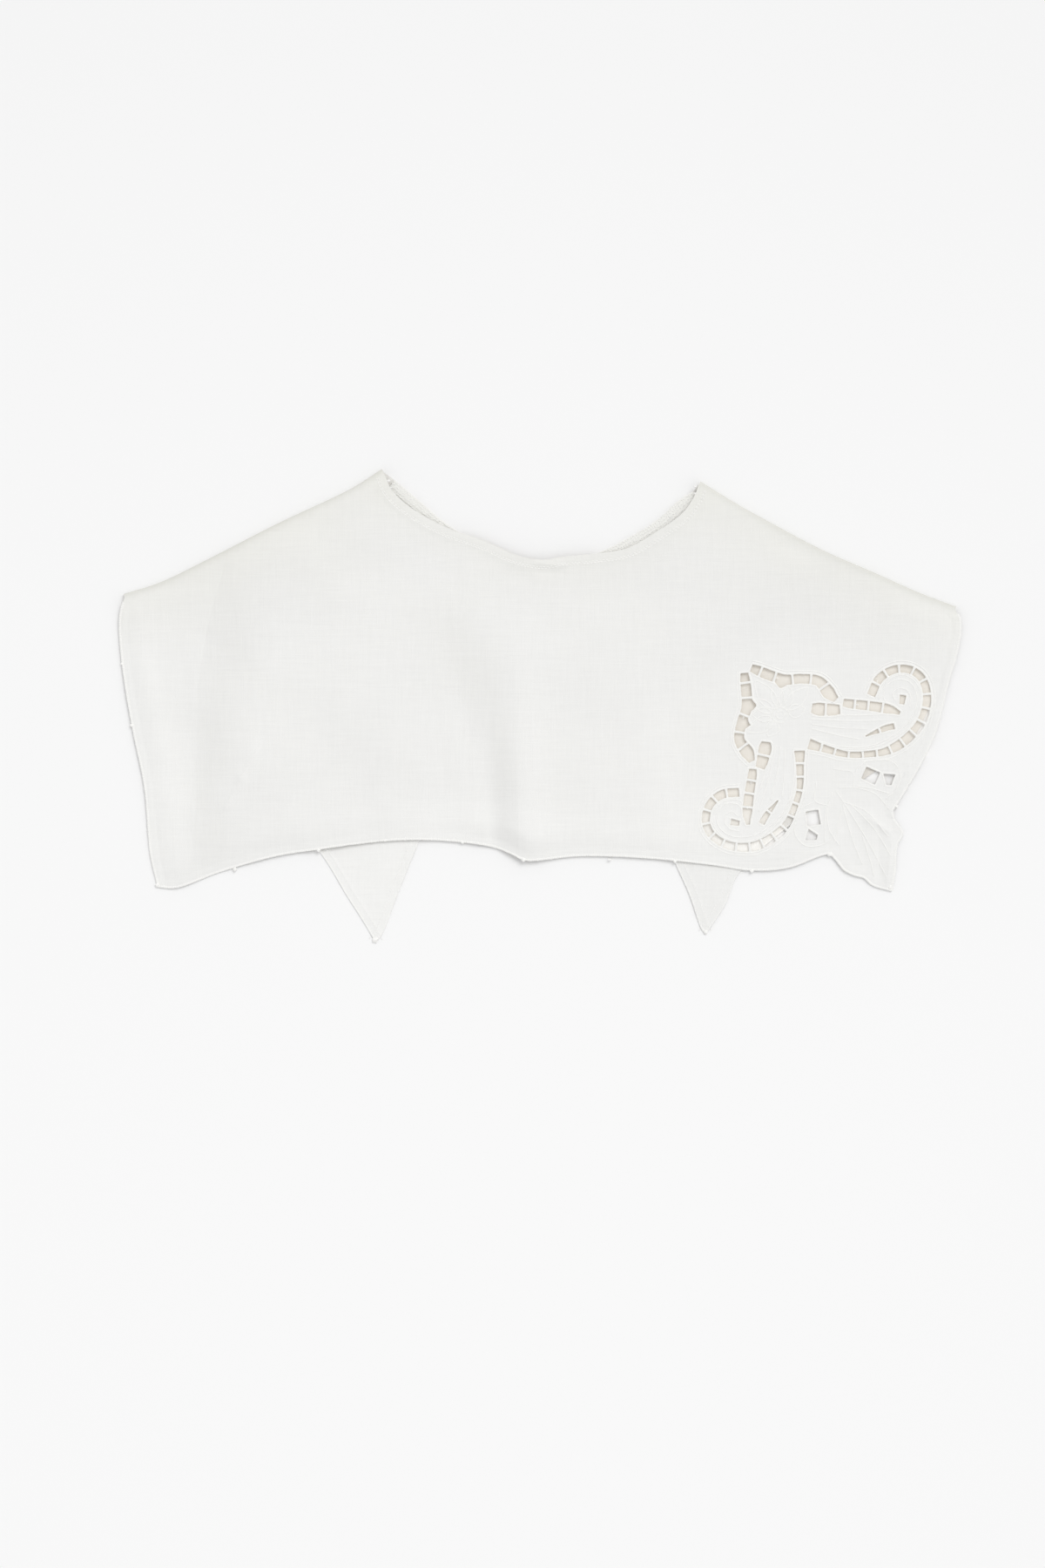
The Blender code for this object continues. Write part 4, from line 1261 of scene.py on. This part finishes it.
edging = {
    "hem": {"pitch": 0.85, "length": 1.6, "width": 0.95, "height": 0.95, "inside": 0.45, "lift": 0.0},
    "hole": {"pitch": 0.62, "length": 1.25, "width": 0.72, "height": 0.62, "inside": 0.30, "lift": 0.16},
    "bar": {"pitch": 0.55, "length": 1.45, "width": 0.66, "height": 0.9, "slant": 0.1, "lift": 0.0},
    "rope": {"pitch": 1.1, "length": 1.8, "width": 0.52, "height": 0.46, "slant": 0.24, "lift": 0.27},
    "neckRow": {"pitch": 2.1, "length": 1.5, "width": 0.5, "height": 0.36, "slant": 0.0, "lift": 0.32},
    "front": {"pitch": 0.95, "length": 1.2, "width": 1.0, "height": 0.6, "inside": 0.35, "lift": 0.0},
    "frontRow": {"pitch": 1.9, "length": 1.2, "width": 0.4, "height": 0.3, "slant": 0.1, "lift": 0.26},
    "facingRow": {"pitch": 1.7, "length": 1.1, "width": 0.5, "height": 0.4, "slant": 0.5, "lift": 0.0},
}
# Small knots and thread ends that stand out of the edges: (x, y, size)
knots = {
    "hem": [(-243.4, -11.7, 2.2), (-182.0, -97.5, 2.4), (-132.1, -86.1, 2.2), (-92.6, -80.3, 1.9),
            (-46.3, -81.4, 2.0), (-9.9, -91.8, 2.6), (41.6, -91.8, 1.9), (80.6, -92.8, 1.9),
            (126.4, -98.5, 2.2), (173.0, -88.6, 3.2), (-249.4, 25.0, 1.6), (-228.4, -106.8, 2.6),
            (209.0, -108.2, 2.2), (212.6, -60.0, 2.0)],
    "neck": [(-90.2, 134.0, 1.6), (92.6, 130.5, 1.5), (-88.6, 130.0, 1.1), (92.4, 126.5, 1.0)],
    "point": {"Left": (-98.4, -139.6, 3.4), "Right": (98.8, -134.8, 2.6)},
}
# A knot is three short threads: (shift, share of its size, turn)
knotThreads = (((0, 0), 1.0, 0), ((0.5, 0.3), 0.7, 1.2), ((-0.5, 0.2), 0.65, 2.1))
knotLift = 0.15
picotShare = 0.3        # of the bars carry a small loop
picotOut = 0.9          # from the bar's middle
picotLift = 0.1
turnSpread = 0.07       # how unevenly stitches are turned, and sized
sizeSpread = 0.06


def acrossPlaces(line, side, style, heightOf):
    # stitches square to a line, most of each on the side given: 1 is the line's left
    line = spaced(line, style["pitch"])
    normals = leftNormals(line) * side
    spots = line + normals * style["inside"]
    jitter = stitchNoise.normal(0, 1, (len(line), 3))
    heading = np.arctan2(normals[:, 1], normals[:, 0]) + turnSpread * jitter[:, 0]
    length = style["length"] * (1 + sizeSpread * jitter[:, 1])
    height = style["height"] * (1 + sizeSpread * jitter[:, 2])
    return placeRows(spots, heightOf(spots) + style["lift"], length, style["width"], height, heading)


def alongPlaces(line, style, heightOf):
    # stitches that follow a line, each turned a little across it
    line = spaced(line, style["pitch"])
    run = np.gradient(line, axis=0)
    z = heightOf(line) + style["lift"]
    jitter = 0.05 * stitchNoise.normal(0, 1, (len(line), 2))
    heading = np.arctan2(run[:, 1], run[:, 0]) + style["slant"] + jitter[:, 0]
    rise = np.gradient(z) / np.maximum(np.linalg.norm(run, axis=1), 1e-6)
    return placeRows(line, z, style["length"] * (1 + jitter[:, 1]), style["width"], style["height"], heading,
                     np.arctan(rise))


def knotPlaces(spots, heightOf):
    spots = np.array(spots, float)
    z = heightOf(spots[:, :2]) + knotLift
    turn = stitchNoise.uniform(0, math.pi, len(spots))
    return np.vstack([placeRows(spots[:, :2] + shift, z, spots[:, 2] * share, 0.7 * spots[:, 2] * share,
                                0.6 * spots[:, 2] * share, turn + spin)
                      for shift, share, spin in knotThreads])


def layHem():
    edge = np.vstack([sideLeftLine[2:], hemLine[1:], leafLowerLine[1:], leafUpperLine[1:],
                      sideRightLine[1:-2]])
    places = [acrossPlaces(edge, 1, edging["hem"], clothHeight), knotPlaces(knots["hem"], clothHeight)]
    return layCopies("hemEdging", satinModel, np.vstack(places), sewingThread)


def barPlaces(left, right, out, inward, style):
    shift = np.array((-out[1], out[0])) * cutwork["halfBar"] * inward
    path = spaced(np.vstack([left + shift, right + shift]), style["pitch"])
    run = path[-1] - path[0]
    heading = math.atan2(run[1], run[0]) + math.pi / 2 + style["slant"]
    return placeRows(path, clothHeight(path) + style["lift"], style["length"], style["width"],
                     style["height"], heading)


def layCutworkEdges():
    edges, bars = [], []
    for _, (left, right), crossings in channelForms:
        edges.append(acrossPlaces(left, 1, edging["hole"], clothHeight))
        edges.append(acrossPlaces(right, -1, edging["hole"], clothHeight))
        for k, crossing in enumerate(crossings):
            bars.append(barPlaces(*crossing, 1 if k < len(crossings) - 1 else -1, edging["bar"]))
    return (layCopies("cutworkEdging", satinModel, np.vstack(edges), sewingThread),
            layCopies("cutworkBars", satinModel, np.vstack(bars), sewingThread))


def layEmbroidery():
    kept = []
    for line in embroideredLines():
        places = alongPlaces(line, edging["rope"], clothHeight)
        free = np.ones(len(places), bool)
        for ring in holes:
            free &= ~within(places[:, :2], ring)
        kept.append(places[free])
    return layCopies("embroidery", ropeModel, np.vstack(kept), sewingThread)


def layNeckStitches():
    line = spaced(neckLine, 1.0)[3:-3]
    rows = [alongPlaces(beside(line, -offset), edging["neckRow"], clothHeight)
            for offset in relief["neckRows"]]
    rows.append(knotPlaces(knots["neck"], clothHeight))
    return layCopies("neckStitches", satinModel, np.vstack(rows), sewingThread)


def layFrontStitches(side, parts, turn):
    visible = [line[line[:, 1] < frontForm["stitchedBelow"]] for line in (parts["inner"], parts["outer"])]
    rows = [acrossPlaces(line, turn, edging["front"], parts["height"]) for line in visible]
    rows += [alongPlaces(beside(line, turn * frontForm["stitchRow"]), edging["frontRow"], parts["height"])
             for line in visible]
    rows.append(knotPlaces([knots["point"][side]], parts["height"]))
    return layCopies("frontStitches" + side, satinModel, np.vstack(rows), sewingThread)


def layFacingStitches(side, parts, turn):
    rows = []
    for share in facing["rows"]:
        line = beside(spaced(parts["neck"], facing["step"]), turn * facing["width"] * share)
        lift = facing["rounding"] + facing["stitchLift"] - facing["stitchFall"] * abs(share - 0.5)
        height = facing["height"] + lift
        rows.append(alongPlaces(spaced(line, facing["step"]), edging["facingRow"],
                                lambda where: np.full(len(where), height)))
    places = np.vstack(rows)
    places[:, 6] += stitchNoise.choice((-0.9, 0.0, 0.9), len(places))
    places[:, 0:2] += stitchNoise.normal(0, 0.22, (len(places), 2))
    return layCopies("facingStitches" + side, satinModel, places, sewingThread)


def layPicots():
    # small loops on some of the bars
    places = []
    for _, _, crossings in channelForms:
        for left, right, out in crossings[1:-1]:
            if stitchNoise.random() < picotShare:
                along = np.array((-out[1], out[0])) * stitchNoise.choice((-1, 1))
                spot = (left + right) / 2 + along * picotOut
                z = clothHeight(spot)[0] + picotLift
                places.append((*spot, z, 1, 1, 1, math.atan2(along[1], along[0]), 0))
    return layCopies("picots", picotModel, places, sewingThread)


hemEdging = layHem()
print("hem edged", len(hemEdging.data.polygons))
cutworkEdging, cutworkBars = layCutworkEdges()
print("cutwork edged", len(cutworkEdging.data.polygons), len(cutworkBars.data.polygons))
picots = layPicots()
embroideryRopes = layEmbroidery()
print("embroidery laid", len(embroideryRopes.data.polygons))
neckStitches = layNeckStitches()
frontStitchesLeft = layFrontStitches("Left", partsLeft, -1)
frontStitchesRight = layFrontStitches("Right", partsRight, 1)
facingStitchesLeft = layFacingStitches("Left", partsLeft, -1)
facingStitchesRight = layFacingStitches("Right", partsRight, 1)
print("neck, fronts and facings sewn")


# Every piece rides on the one body, and each sheet of linen stands for its node

for model in (satinModel, ropeModel, picotModel):
    bpy.data.objects.remove(model, do_unlink=True)

sheets = {                # piece, what is sewn on it, slot, flat size and area in metres, what it rests on
    "back_panel": (back, [hemEdging, cutworkEdging, cutworkBars, picots, embroideryRopes, neckStitches],
                   "linen_back", (0.502, 0.251), 0.092, ["frontLinenLeft", "frontLinenRight", "floor"]),
    "front_left": (frontLeft, [frontStitchesLeft], "linen_front", (0.240, 0.283), 0.0335, ["floor"]),
    "front_right": (frontRight, [frontStitchesRight], "linen_front", (0.250, 0.270), 0.0345, ["floor"]),
    "neck_facing_left": (facingLeft, [facingStitchesLeft], "linen_facing", (0.098, 0.010), 0.00075,
                         ["frontLinenLeft"]),
    "neck_facing_right": (facingRight, [facingStitchesRight], "linen_facing", (0.105, 0.010), 0.0008,
                          ["frontLinenRight"]),
}
for node, (piece, sewnOn, slotName, flat, area, below) in sheets.items():
    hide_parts(node)
    for part in [piece] + sewnOn:
        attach(part, "root")
